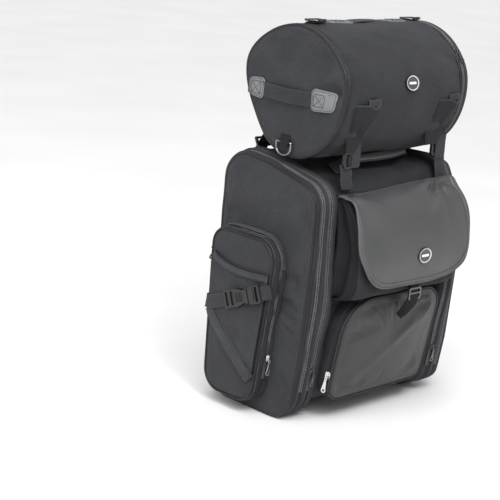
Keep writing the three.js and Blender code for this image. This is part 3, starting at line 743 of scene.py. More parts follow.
def build_side(word, g):
    door = word + "_door"
    # Outer half of the band
    rows = []
    for x, off in BAND_OUT:
        rows += profile_ring(g * x, off, front=4 * (1 if x > 160 else 0.8), lumps=1.2, seed=4.1 + g)
    rows += profile_ring(g * 180, 0.6, front=1.0)

    def face_place(a, b, h):
        return (g * (180.6 + h), a + fuller_rear(g * 180, a, b), b + fuller_top(g * 180, a, b))

    def face_crown(a, b, f):
        puff = 6.0 * (1 - f**2)
        inner = min(1, 4 * (1 - f))
        folds = (
            1.8 * wobble((a * 0.5, b, 0), 60, 2.0 + g) + 1.0 * wobble((a, b * 0.6, 0), 24, 5.0 + g)
        ) * inner
        slack = 3.4 * math.exp(-(((b - 330 - 0.12 * a) / 20) ** 2)) * inner
        return puff + folds - slack

    # The outer band uses the darker copy of the cloth: painted shade between the panels.
    piece(word + "_band_cloth", rows, grid_faces(len(BAND_OUT) + 1, N, True), FABRIC_BAND_SHADED, door, thick=2.0)
    face = panel(
        word + "_panel_cloth", PROFILE, [
            (0, -2, 0), (0.6, 0, 0), (2.2, 1.8, 0), (3.4, 1.0, 0), (5, 2.4, 0), (9, 3.0, 0)
        ], face_crown, face_place,
        [FABRIC], door, shrink=(
            0.96, 0.91, 0.86, 0.8, 0.73, 0.66, 0.58, 0.5, 0.42, 0.34, 0.26, 0.18, 0.1
        ), replaces=word + "_side_panel", slot="fabric", thick=2.0,
    )
    settle_cloth(face, 14, 4.0)
    pts, nrm = profile_path(g * 180.2, 1.8)
    tube(word + "_panel_piping", pts, nrm, 2.0, PIPING, door, closed=True)
    pts, nrm = profile_path(g * 174.5, 5.6, 0.1, 0.9)
    stitches(word + "_panel_stitch", pts, nrm, door)
    start, end = 0.155, 0.885
    pts, nrm = profile_path(g * ZIP_INNER, 5.9, start, end, 400)
    zip_line(
        word + "_inner_zip", pts, nrm, "main", coil=4.0, pitch=4.2, replaces=word + "_main_zip", slot="zip"
    )
    pts, nrm = profile_path(g * ZIP_OUTER, 5.0, start, end, 400)
    zip_line(word + "_outer_zip", pts, nrm, door, coil=4.0, pitch=4.2, tape=6.0)
    # Corded edges beside the coils; the lighter ones are painted highlight along their ridges
    for label, x, off, owner, mat in (
        ("a", 143.4, 9.0, "main", TRIM_RIDGE_HIGHLIGHT), ("b", 154.6, 9.4, door, TRIM_RIDGE_HIGHLIGHT), ("c", 169.8, 6.2, door, TRIM_RIDGE_HIGHLIGHT),
        ("d", 134.0, 6.4, "main", PIPING)
    ):
        pts, nrm = profile_path(g * x, off, 0.12, 0.92, 260)
        tube(f"{word}_lip_{label}", pts, nrm, 1.2, mat, owner, squash=0.8)
    # The band's slider parks at the foot of the inner zip
    pts, nrm = profile_path(g * ZIP_INNER, 7.6)
    place = min((p for p in pts if p[1] < 0), key=lambda p: abs(p[2] - 92))
    lean = np.array([0, 0.142, -0.99])
    out = np.array([0, -0.99, -0.142])
    slider(
        word + "_band_slider", place, lean, out, np.array([1.0, 0, 0]), GUNMETAL, word + "_main_slider",
        replaces=word + "_main_slider", slot="metal"
    )
    d_pull(
        word + "_band_pull", place + out * 5.2 + lean * 2, lean, out, np.array([1.0, 0, 0]), 24, GUNMETAL,
        word + "_main_slider"
    )


# ------------------------------------------------------------------ side pocket
POCKET = rounded([[84, 24, 34], [88, 314, 30], [-61, 313, 36], [-30, 24, 36]], 200)
POCKET_OUT = outward(POCKET)
POCKET_BAND = [
    (181.5, 0.5), (184, 3.4), (188, 5.0), (193, 4.8), (197.6, 3.4), (198.6, 1.4),
    (204.6, 1.4), (205.6, 3.2), (209, 4.4), (213, 3.6), (216.6, 2.0), (218.6, 0.4),
]


def pocket_shift(x, y, z):
    """The right pocket bulges rearwards with the fuller right side."""
    return -32 * ease(x, 0, 1) * ease(-y, -30, 45) * ease(z, 25, 98) * (1 - ease(z, 262, 314))


def pocket_path(x, off, start=0.0, end=1.0, n=200):
    pts = np.hstack([np.full((len(POCKET), 1), x), POCKET + POCKET_OUT * off])
    pts[:, 1] += [pocket_shift(x, y, z) for y, z in POCKET]
    nrm = np.hstack([np.zeros((len(POCKET), 1)), POCKET_OUT])
    if (start, end) == (0.0, 1.0):
        return pts, nrm
    idx = np.linspace(start, end, n) * len(POCKET)
    both = np.vstack([np.hstack([pts, nrm])] * 2)
    out = np.stack([np.interp(idx, np.arange(len(both)), both[:, k]) for k in range(6)], axis=1)
    return out[:, :3], out[:, 3:]


def pocket_face_height(a, b):
    """How far the pocket's padded front stands out, in mm, at (y, z)."""
    u = (a - 15) / 80
    v = (b - 170) / 150
    soft = 1.6 * wobble((a, b * 0.7, 0), 46, 7)
    return 7.5 * max(0.0, 1 - u * u) * max(0.0, 1 - v * v) ** 0.8 + soft * max(0.0, 1 - abs(u)) * max(
        0.0, 1 - abs(v)
    ) ** 0.5


def build_pocket(word, g):
    door, lid = word + "_door", word + "_pocket_lid"
    rows = []
    for x, off in POCKET_BAND:
        for (y, z), (ny, nz) in zip(POCKET, POCKET_OUT):
            u = (x - 181) / 38
            swell = off + 2.0 * wobble((x, y, z), 34, 9 + g) + 4.5 * ease(-y, 10, 60) * math.sin(math.pi * u)
            swell += 2.4 * wobble((x * 0.4, y, z * 0.5), 13, 2.5) * ease(-y, 20, 50) * math.sin(math.pi * u)
            rows.append((g * x, y + ny * swell + pocket_shift(g * x, y, z), z + nz * swell))
    band = piece(
        word + "_pocket_gusset", rows, grid_faces(len(POCKET_BAND), len(POCKET), True), FABRIC_SHADED, door,
        replaces=word + "_pocket_frame", slot="fabric", thick=1.8,
    )

    def place(a, b, h):
        return (g * (219.2 + h), a + pocket_shift(g, a, b), b)

    def crown(a, b, f):
        return pocket_face_height(a, b) * min(1.0, 2.4 * (1 - f)) + 1.0

    front = panel(
        word + "_pocket_front_cloth", POCKET, [
            (1.5, -6, 0), (0.6, -1, 0), (1.5, 0.8, 0), (2.6, 0.2, 0), (4.4, 1.4, 0), (7, 1.8, 0)
        ], crown, place, [FABRIC], lid,
        shrink=(
            0.95, 0.88, 0.8, 0.7, 0.6, 0.5, 0.4, 0.3, 0.2, 0.1
        ), replaces=word + "_pocket_front", slot="fabric",
    )
    pts, nrm = pocket_path(g * 219.4, 1.2)
    tube(word + "_pocket_piping", pts, nrm, 1.9, PIPING, lid, closed=True)
    pts, nrm = pocket_path(g * 215.0, 4.2)
    tube(word + "_pocket_lip", pts, nrm, 1.0, TRIM_RIDGE_HIGHLIGHT, door, closed=True, squash=0.7)
    pts, nrm = pocket_path(g * 201.6, 2.2 + 3.0, 0.36, 0.885, 320)
    inwards = np.array([2.6 * (1 - ease(-p[1], 10, 60)) for p in pts])
    zip_line(
        word + "_pocket_coil", pts - nrm * inwards[:, None], nrm, door, replaces=word + "_pocket_zip",
        slot="zip", pitch=3.0, coil=3.0, tape=4.6
    )

    # Storm flap that hoods the zip from the top round the upper rear corner
    pts, nrm = pocket_path(g * 187, 3.4, 0.43, 0.63, 60)
    ribs = ((-3, 0.0), (-1, 1.8), (2, 3.6), (6, 5.2), (10, 6.0), (14, 5.6), (16.4, 4.0))
    verts = []
    for i, (p, o) in enumerate(zip(pts, nrm)):
        u = i / (len(pts) - 1)
        lift = 0.25 + 0.75 * math.sin(math.pi * min(1, 0.16 + u * 0.9)) ** 0.7
        lift += 0.7 * ease(u, 0.86, 1.0)
        x = np.array([g, 0, 0])
        for across, rise in ribs:
            verts.append(p + x * across + o * (rise * lift + 0.6 * wobble((across, i * 2.0, g), 9, 1.0)))
    piece(word + "_storm_flap", verts, grid_faces(len(pts), len(ribs)), FABRIC, door, thick=1.5)
    hem = np.array([verts[k * len(ribs) + len(ribs) - 1] for k in range(len(pts))])
    tube(word + "_storm_hem", hem, nrm, 1.0, TRIM_RIDGE_HIGHLIGHT, door)
    row = np.array([verts[k * len(ribs) + 1] for k in range(len(pts))])
    stitches(word + "_storm_stitch", row, nrm, door)

    def on_face(a, b, h):
        return np.array((g * (219.2 + 2.6 + pocket_face_height(a, b) + h), a + pocket_shift(g, a, b), b))

    # Mesh stash pocket: slack net behind a bound top edge, closed below by a broad diagonal band
    def mesh_lift(a, b):
        inside = max(0.0, 1 - ((b - 205) / 70) ** 2)
        return 0.9 + 1.6 * inside + 0.7 * wobble((a, b, 0), 22, 3)

    cols, rows_n = 34, 34
    verts, mesh_grid = [], []
    for r in range(rows_n):
        v = r / (rows_n - 1)
        for c in range(cols):
            u = c / (cols - 1)
            z = (150 - 78 * u) * (1 - v) + (258 - 6 * math.sin(math.pi * u)) * v
            right = -31 - (z - 24) * 31 / 289 + 1.0
            y = 82.0 + (right - 82.0) * u
            mesh_grid.append((y, z))
            verts.append(on_face(y, z, 0.9 + mesh_lift(y, z) * min(1, 5 * u * (1 - u) + 0.15)))
    # A dark sheet behind the net: painted shade inside the stash pocket.
    under = [on_face(*p, 0.5) for p in mesh_grid]
    piece(word + "_mesh_shade_sheet", under, grid_faces(rows_n, cols), FABRIC_SHADED, lid, thick=0.6)
    mesh_obj = piece(
        word + "_mesh_cloth", verts, grid_faces(rows_n, cols), NET, lid, replaces=word + "_mesh_pocket",
        slot="mesh", thick=0.7
    )

    def face_band(name, ends, wide, lift, mat):
        path = curve_through(ends, 40)
        tuck = [min(1.0, 0.2 + 0.27 * min(i, 39 - i)) for i in range(40)]
        strap(
            name, np.array([on_face(a, b, lift * t - 1.4 * (1 - t)) for (a, b), t in zip(path, tuck)]),
            (g, 0, 0), wide, 1.5, mat, lid
        )
        across = outward(path, False) * (wide / 2 - 1.8)
        for sign in (-1, 1):
            row = np.array(
                [on_face(a + n[0] * sign, b + n[1] * sign, lift + 0.9) for (a, b), n in zip(path, across)]
            )
            stitches(f"{name}_stitch_{'a' if sign < 0 else 'b'}", row, (g, 0, 0), lid)

    face_band(
        word + "_mesh_binding", [(81, 267), (62, 259), (25, 252), (-15, 251), (-53, 253)], 12, 4.4, TRIM_RIDGE_HIGHLIGHT
    )
    face_band(word + "_diagonal_band", [(81, 172), (62, 154), (22, 119), (-12, 88), (-31, 69)], 24, 2.8, TRIM_RIDGE_HIGHLIGHT)
    edge = curve_through([(86, 190), (66, 170), (28, 136), (-8, 106), (-40, 80)], 40)
    tube(word + "_diagonal_piping", [on_face(a, b, 3.6) for a, b in edge], (g, 0, 0), 1.1, PIPING, lid)
    edge = curve_through([(86, 276), (62, 267), (25, 260), (-15, 259), (-57, 261)], 40)
    tube(word + "_binding_piping", [on_face(a, b, 3.0) for a, b in edge], (g, 0, 0), 0.9, PIPING, lid)

    # Pull at the foot of the pocket's zip, and a small one parked at its front top
    gusset_y = -30 - (109 - 24) * 31 / 289 + pocket_shift(g, -40, 109)
    lean = np.array([0, 0.105, -0.994])
    out = np.array([0, -0.994, -0.105])
    across = np.array([1.0, 0, 0])
    seat = np.array([g * 201.6, gusset_y - 8.4 - (3.5 if g > 0 else 0), 109.0])
    slider(
        word + "_pocket_slide", seat, lean, out, across, CHROME, word + "_pocket_slider",
        replaces=word + "_pocket_slider", slot="metal"
    )
    d_pull(
        word + "_pocket_tab", seat + out * 6.4 + lean * 1.5, lean, out, across, 30, CHROME,
        word + "_pocket_pull", replaces=word + "_pocket_pull", slot="metal"
    )
    seat = np.array([g * 203, 96.0, 268.0])
    slider(
        word + "_pocket_slide_front", seat, np.array([0, 0.0, -1.0]), np.array([0, 1.0, 0]), across,
        GUNMETAL, door
    )
    d_pull(
        word + "_pocket_tab_front", seat + np.array([g * 2, 3.4, -1]), np.array([0, 0.34, -0.94]),
        np.array([0, 0.94, 0.34]), across, 22, GUNMETAL, door
    )
    return on_face


TILT = math.radians(21)
ALONG = np.array([0, math.cos(TILT), -math.sin(TILT)])
ACROSS = np.array([0, math.sin(TILT), math.cos(TILT)])
BUCKLE = np.array([0, -18, 216.0])


def build_buckle(word, g, on_face):
    lid, own = word + "_pocket_lid", word + "_buckle"
    out = np.array([g, 0, 0])
    lift = 232.5

    def place(a, b, h):
        return BUCKLE + ALONG * a + ACROSS * b + out * (lift + h)

    def bar(name, a0, a1, b0, b1, h0, h1, mat, body, bevel=0.8, **more):
        return plate(
            name, box_loop(min(a0, a1), max(a0, a1), min(b0, b1), max(b0, b1), 1.5), [], place, h0, h1, mat,
            body, bevel=bevel, **more
        )

    # Female half: an adjuster slot at its tail, ribbed grip, open mouth and side windows
    shell = [
        (-8, -12.5), (-3, -11.4), (3, -11.0), (9, -13.5), (20, -15.4), (47, -16), (50, -14), (50, 14),
        (47, 16), (20, 15.4), (9, 13.5), (3, 11.0), (-3, 11.4), (-8, 12.5),
    ]
    slots = [box_loop(27, 33, -12.2, 12.2, 1.2), box_loop(39.5, 45.5, -12.2, 12.2, 1.2)]
    plate(
        word + "_buckle_top", shell, slots, place, 5.2, 8.4, PLASTIC, own, bevel=1.0,
        replaces=word + "_buckle_female", slot="plastic"
    )
    plate(word + "_buckle_bottom", shell, slots, place, -0.6, 1.6, PLASTIC, own, bevel=0.5)
    for sign in (-1, 1):
        label = "a" if sign < 0 else "b"
        bar(f"{word}_buckle_wall_{label}", 16, 49, sign * 16, sign * 13, 1.2, 6.2, PLASTIC, own)
        bar(f"{word}_buckle_lip_{label}", -8, 1, sign * 12, sign * 8.5, 1.2, 6.2, PLASTIC, own)
    for k in range(5):
        bar(
            f"{word}_buckle_rib_{k}", 5 + 3.6 * k, 6.8 + 3.6 * k, -8.5, 8.5, 8.0, 9.2, PLASTIC, own,
            bevel=0.4
        )
    # Male half: base with a slot, two sprung prongs with barbs that fill the windows, and a guide
    base = [(-38, -13), (-36, -15.5), (-14, -15.5), (-9, -12), (-9, 12), (-14, 15.5), (-36, 15.5), (-38, 13)]
    plate(
        word + "_buckle_base", base, [
            box_loop(-33.5, -27, -12.2, 12.2, 1.2)
        ], place, 0.6, 7.8, PLASTIC, lid, bevel=1.2,
        replaces=word + "_buckle_male", slot="plastic",
    )
    bar(word + "_buckle_ridge", -24, -13, -9, 9, 7.4, 8.7, PLASTIC, lid, bevel=0.5)
    for sign in (-1, 1):
        prong = [(-10, 6.6), (2, 7.0), (8, 11.4), (13, 14.8), (15, 12.2), (12, 9.0), (4, 4.8), (-10, 3.8)]
        plate(
            f"{word}_buckle_prong_{'a' if sign < 0 else 'b'}", [
                (a, sign * b) for a, b in prong
            ], [], place, 2.0, 5.0,
            PLASTIC, lid, bevel=0.5,
        )
    bar(word + "_buckle_guide", -10, 12, -1.6, 1.6, 2.2, 4.8, PLASTIC, lid, bevel=0.4)
    # Webbing: from one half round the pocket's front edge, and a short sewn length behind the other
    line = [place(a, 0, h) for a, h in ((28, 3.6), (34, 4.6), (42, 5.0), (50, 3.2))]
    line += [
        on_face(p[1], p[2], h) for p,
        h in (
            (place(62, 0, 0), 5.6), (place(76, 0, 0), 5.0), (place(90, 0, 0), 4.4), (place(102, 0, 0), 3.2)
        )
    ]
    tail = place(108, 0, 0)
    line += [
        np.array((g * 222.5, 91.5, tail[2] + 1.0)), np.array((g * 216, 94.5, tail[2])),
        np.array((g * 206, 95.0, tail[2] - 1)), np.array((g * 192, 93.5, tail[2] - 3))
    ]
    path = curve_through(line, 80)
    turn = [ease(p[1], 84, 94) for p in path]
    hint = np.array([out * (1 - k) + np.array([0, 1, 0]) * k for k in turn])
    web = strap(
        word + "_web_front", path, hint, 25, 1.7, WEBBING, lid, replaces=word + "_front_web", slot="webbing"
    )
    web.parent = None
    Vector(place(104, 0, 0) * MM)
    Vector(place(48, 0, 0) * MM)
    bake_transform(web)
    tail = [place(a, 0, h) for a, h in ((-24, 0.4), (-29, 3.4), (-34, 4.4), (-38, 2.0))]
    tail += [on_face(p[1], p[2], h) for p, h in ((place(-43, 0, 0), 2.6), (place(-48, 0, 0), 1.0))]
    tail = curve_through(tail, 30)
    strap(word + "_web_rear", tail, out, 24, 1.7, WEBBING, lid, replaces=word + "_rear_web", slot="webbing")


def d_pull(name, centre, down, out, across, length, mat, body, **more):
    """A flat zip pull: narrow waist, round end with a hole; it hangs from centre along down."""
    outline = [(-2.2, 0), (2.2, 0), (2.6, 4), (2.0, 7), (2.7, 11), (3.6, length - 9)]
    right = outline[1:]
    end = [
        (4.6 * math.cos(t), length - 4.6 + 4.6 * math.sin(t))
        for t in np.linspace(-0.35, math.pi + 0.35, 14)
    ]
    shape = right + end + [(-a, b) for a, b in reversed(outline[2:])] + [outline[0]]
    holes = [ring_loop(0, length - 4.6, 2.1, 16), ring_loop(0, 3.2, 1.1, 12)]

    def place(a, b, h):
        return centre + across * a + down * b + out * h

    return plate(name, shape, holes, place, 0, 1.7, mat, body, bevel=0.4, **more)


def slider(name, centre, down, out, across, mat, body, **more):
    """A zip slider: tapered top plate with a raised bridge for the pull."""
    outline = [
        (-3.2, 6), (-5, 3), (-5.2, -3), (-3.4, -6.6), (-1.6, -6), (0, -7), (1.6, -6), (3.4, -6.6),
        (5.2, -3), (5, 3), (3.2, 6)
    ]

    def place(a, b, h):
        return centre + across * a + down * b + out * h

    body_obj = plate(name, outline, [], place, 1.4, 3.6, mat, body, bevel=0.7, **more)
    plate(name + "_bridge", box_loop(-1.3, 1.3, -4.5, 4.5, 1.2), [], place, 3.4, 5.6, mat, body, bevel=0.7)
    return body_obj


def d_ring(name, centre, along, down, out, half, drop, wire, mat, body, **more):
    """A wire D-ring: a straight bar along its hinge and a round bow below it."""
    loop = [(-half, 0), (-half * 0.5, 0), (half * 0.5, 0), (half, 0)]
    loop += [
        (half * math.cos(t), -drop * (1 - 0.55) - 0 + -0.55 * drop * math.sin(t))
        for t in np.linspace(0, math.pi, 11)
    ]
    path2 = curve_through(loop, 72, closed=True)
    path = np.array([centre + along * a - down * b for a, b in path2])
    return tube(name, path, out, wire, mat, body, closed=True, sides=10, **more)


# ------------------------------------------------------------------ rear upper pocket and flap
UP_LINE = [
    (-104, 402), (-116, 400), (-126, 396), (-140, 386), (-154, 366), (-166, 334), (-173, 300),
    (-175, 262), (-169, 238), (-152, 228), (-130, 225), (-108, 224),
]


def build_upper_pocket():
    line = curve_through(UP_LINE, 64)
    rows, cols = len(line), 54
    verts = []
    for (y, z) in line:
        for c in range(cols):
            u = -1 + 2 * c / (cols - 1)
            x = 130 * u
            side = max(0.0, abs(u) - 0.86) / 0.14
            inset = 5.5 * side**2
            crease = 4.4 * ease(abs(u), 0.3, 0.95) * wobble((x, y * 0.6, z * 0.22), 20, 5.5)
            sag = 3.0 * math.sin(3 * math.pi * abs(u)) * ease(300 - z, 0, 60) * ease(z, 222, 240)
            verts.append((x, y + inset + crease * 0.7, z - sag * 0.5))
    front = piece(
        "upper_pocket_cloth", verts, grid_faces(rows, cols), FABRIC_SHADED, "main",
        replaces="rear_upper_pocket", slot="fabric", thick=1.6
    )
    # Pleated sides that bulge past the flap's edges, near-black as painted shade in their recess
    for word, g in SIDES:
        verts = []
        depth_cols = 22
        for (y, z) in line:
            back = -100 - 5 * ease(z, 0, 300)
            low = ease(420 - z, 0, 60)
            for c in range(depth_cols):
                v = c / (depth_cols - 1)
                pleat = 6.5 * math.sin(
                    v * math.pi * 3.4 + 0.5 * math.sin(z / 22)
                ) * math.sin(math.pi * v) * low
                bulge = 5.0 * math.sin(math.pi * v) * ease(360 - z, 0, 90)
                x = g * (130 + pleat + bulge + 2.2 * wobble((v * 20, y, z), 22, 3 + g) * low)
                yy = (y + 5.5) + (back - (y + 5.5)) * v
                verts.append((x, yy, z + 2.0 * wobble((v * 30, z, 0), 18, 1.0) * low))
        side = piece(
            f"upper_pocket_side_{word}", verts, grid_faces(rows, depth_cols), FABRIC_SIDE_SHADE, "main",
            thick=1.6
        )


FLAP_LINE = curve_through(
    [
        (-110, 405.5), (-118, 408.5), (-131, 405.5), (-148, 394), (-162, 374), (-174, 347), (-182, 318),
        (-186, 291), (-185, 268), (-181, 251)
    ],
    90
)
FLAP_STEP = np.concatenate([[0], np.cumsum(np.linalg.norm(np.diff(FLAP_LINE, axis=0), axis=1))])
FLAP_LENGTH = FLAP_STEP[-1]
FLAP_OUT = outward(FLAP_LINE, False)
if FLAP_OUT[len(FLAP_OUT) // 2][0] > 0:
    FLAP_OUT = -FLAP_OUT


def flap_place(x, down, h):
    """A point on the flap: x across, down along its length from the hinge, h above it."""
    y = np.interp(down, FLAP_STEP, FLAP_LINE[:, 0])
    z = np.interp(down, FLAP_STEP, FLAP_LINE[:, 1])
    ny = np.interp(down, FLAP_STEP, FLAP_OUT[:, 0])
    nz = np.interp(down, FLAP_STEP, FLAP_OUT[:, 1])
    share = down / FLAP_LENGTH
    # Folds fan out from a pucker near the hinge's right end, with a hooked lip at its left end
    reach = math.hypot(x - 96, down - 16)
    angle = math.atan2(down - 16, x - 96)
    folds = 8.5 * math.cos(6.2 * angle + 0.3) * math.exp(-reach / 58) * ease(reach, 3, 24)
    folds += 5.0 * math.cos(3.4 * angle - 0.6) * math.exp(-reach / 120) * ease(reach, 20, 60)
    reach2 = math.hypot(x + 128, down - 20)
    folds += 5.0 * math.cos(
        3.4 * math.atan2(down - 20, x + 128) - 0.9
    ) * math.exp(-reach2 / 55) * ease(reach2, 2, 24)
    lip = 7.5 * ease(-x, 112, 150) * math.exp(-(((down - 40) / 26) ** 2))
    sag = 3.0 * math.sin(math.pi * share) * wobble((x, down, 0), 75, 3.3)
    full = 3.0 * (1 - (x / 150) ** 2) * math.sin(math.pi * share)
    curl = -5.5 * ease(abs(x), 132, 152) * ease(share, 0.35, 0.7)
    lift = h + folds * ease(down, 0, 24) + sag + curl + lip + full
    drop = -2 * (1 - (x / 150) ** 2) * ease(share, 0.75, 1) - 11 * (1 - ease(x, -100, 125)) * (
        1 - ease(share, 0.0, 0.5)
    ) + 5 * ease(x, 30, 130) * share
    return (x, y + ny * lift, z + nz * lift + drop)


def build_flap():
    length = FLAP_LENGTH
    loop = rounded([[-133, 0, 6], [143, 0, 10], [152, length, 58], [-149, length, 78]], 340, 1)
    # Rows with material 1 form the border, in the lighter leatherette as painted highlight on its beads.
    edge = [
        (0, 0, 1), (0.4, 1.9, 1), (1.8, 2.7, 1), (3.2, 0.2, 1), (4.6, 2.3, 1), (8.0, 2.3, 1), (9.2, 0.2, 1),
        (10.8, 0.9, 0), (12, 0.5, 0), (18, 0.6, 0)
    ]

    def crown(a, b, f):
        return 0.8 * (1 - f)

    flap = panel("flap_leather", loop, edge, crown, flap_place, [LEATHER, BORDER_HIGHLIGHT], "flap",
                 shrink=FLAP_RINGS, replaces="rear_flap", slot="leather", thick=2.4)
    normals = outward(loop)
    for k, inset in enumerate((3.2, 9.3)):
        ring = loop - normals * inset
        keep = [i for i in range(len(ring)) if ring[i][1] > 8]
        start = next(i for i in keep if (i - 1) % len(ring) not in keep)
        order = [(start + i) % len(ring) for i in range(len(keep))]
        path = np.array([flap_place(*ring[i], 1.0) for i in order])
        tube(f"flap_groove_{k}", path, (0, -1, 0.3), 0.95, PIPING, "flap")
    ring = loop - normals * 6.4
    path = np.array([flap_place(*ring[i], 3.1) for i in order])
    stitches("flap_stitch", path, (0, -1, 0.3), "flap", THREAD, pitch=4.2, radius=0.4)


def build_flap_closure():
    """Adjuster ring under the flap's lower edge, on a webbing tab, with the loose end of the strap."""
    x0 = 10.0
    out = np.array([0.0, -1, 0])

    def place(a, b, h):
        return np.array((x0 + a, -178.5 - h, b))

    plate(
        "flap_loop", box_loop(-15, 17, 218, 240, 3, 36),
        [box_loop(-11.5, 13.5, 222, 228.5, 1.5), box_loop(-11.5, 13.5, 231.5, 237, 1.5)], place, 0, 3.4,
        GUNMETAL, "flap", bevel=1.1, replaces="flap_ring", slot="plastic"
    )
    tab = curve_through(
        [
            (x0 + 1, -176, 256), (x0 + 1, -178, 246), (x0 + 1, -180, 238), (x0 + 1, -179, 232),
            (x0 + 1, -175, 236), (x0 + 1, -174, 250)
        ],
        30
    )
    strap("flap_loop_tab", tab, np.array([out] * 30), 22, 1.5, WEBBING_DARK, "flap")
    tail = curve_through(
        [
            (x0 + 1, -176, 230), (x0, -182, 226), (x0 - 6, -184, 219), (x0 - 13, -181, 209),
            (x0 - 19, -177, 199), (x0 - 26, -172, 190)
        ],
        40
    )
    turn = np.linspace(0, 1, 40)
    hint = np.array([(-math.sin(1.9 * t), -math.cos(1.9 * t), 0.25 * t) for t in turn])
    strap("flap_tail_web", tail, hint, 17, 1.6, WEBBING_DARK, "flap", replaces="flap_tail", slot="webbing")
    under = curve_through(
        [(x0 + 2, -177, 228), (x0 + 4, -172, 214), (x0 + 8, -164, 206), (x0 + 10, -158, 203)], 24
    )
    strap("flap_under_web", under, np.array([(0, -1, 0.3)] * 24), 20, 1.6, WEBBING_DARK, "flap")


def build_badge(name, centre, out, up, body, node):
    """A plain round badge: a bright rim and ring round a darker field, with no lettering."""
    centre, out, up = (np.array(v, float) for v in (centre, out, up))
    out /= np.linalg.norm(out)
    across = np.cross(up, out)
    across /= np.linalg.norm(across)
    up = np.cross(out, across)

    def place(a, b, h):
        return centre + across * a * 1.25 + up * b + out * h

    plate(
        name + "_rim", ring_loop(0, 0, 14.2, 56), [ring_loop(0, 0, 12.6, 56)], place, 0, 2.8, GUNMETAL,
        body, bevel=0.6, replaces=node, slot="metal"
    )
    plate(
        name + "_ring", ring_loop(0, 0, 12.7, 56), [ring_loop(0, 0, 11.2, 56)], place, 0, 2.1, BADGE_RING,
        body, bevel=0.3
    )
    plate(name + "_field", ring_loop(0, 0, 11.3, 56), [], place, 0, 1.5, BADGE_FIELD, body)
    plate(
        name + "_bar", box_loop(-7.4, 7.4, -2.0, 2.0, 1.9, 32), [], place, 1.3, 2.2, BADGE_RING, body,
        bevel=0.3
    )


# ------------------------------------------------------------------ rear lower pocket
LOWER = rounded([[-124, 38, 26], [116, 42, 24], [126, 220, 40], [-116, 220, 62]], 260)
LOWER_OUT = outward(LOWER)
LOWER_FACE, LOWER_TOP, LOWER_LEAN = -146.0, 220.0, math.radians(7.4)


def leaned(x, y, z):
    """The lower pocket is drawn upright and then leaned about its top edge, foot towards the bag."""
    dy, dz = y - LOWER_FACE, z - LOWER_TOP
    return np.array(
        (
            x, LOWER_FACE + dy * math.cos(LOWER_LEAN) - dz * math.sin(LOWER_LEAN),
            LOWER_TOP + dy * math.sin(LOWER_LEAN) + dz * math.cos(LOWER_LEAN)
        )
    )


def lean_direction(x, y, z):
    return leaned(x, y + LOWER_FACE, z + LOWER_TOP) - leaned(0, LOWER_FACE, LOWER_TOP)


def lower_ring(y, off, lumps=0.0):
    ring = []
    for (x, z), (nx, nz) in zip(LOWER, LOWER_OUT):
        flare = 17 * ease(nx, 0.3, 0.9) * (1 - ease(-y, 96, 147)) * (1 - ease(z, 170, 225))
        swell = off + flare + lumps * wobble((x, y, z), 30, 6.2)
        ring.append(leaned(x + nx * swell, y, z + nz * swell))
    return ring


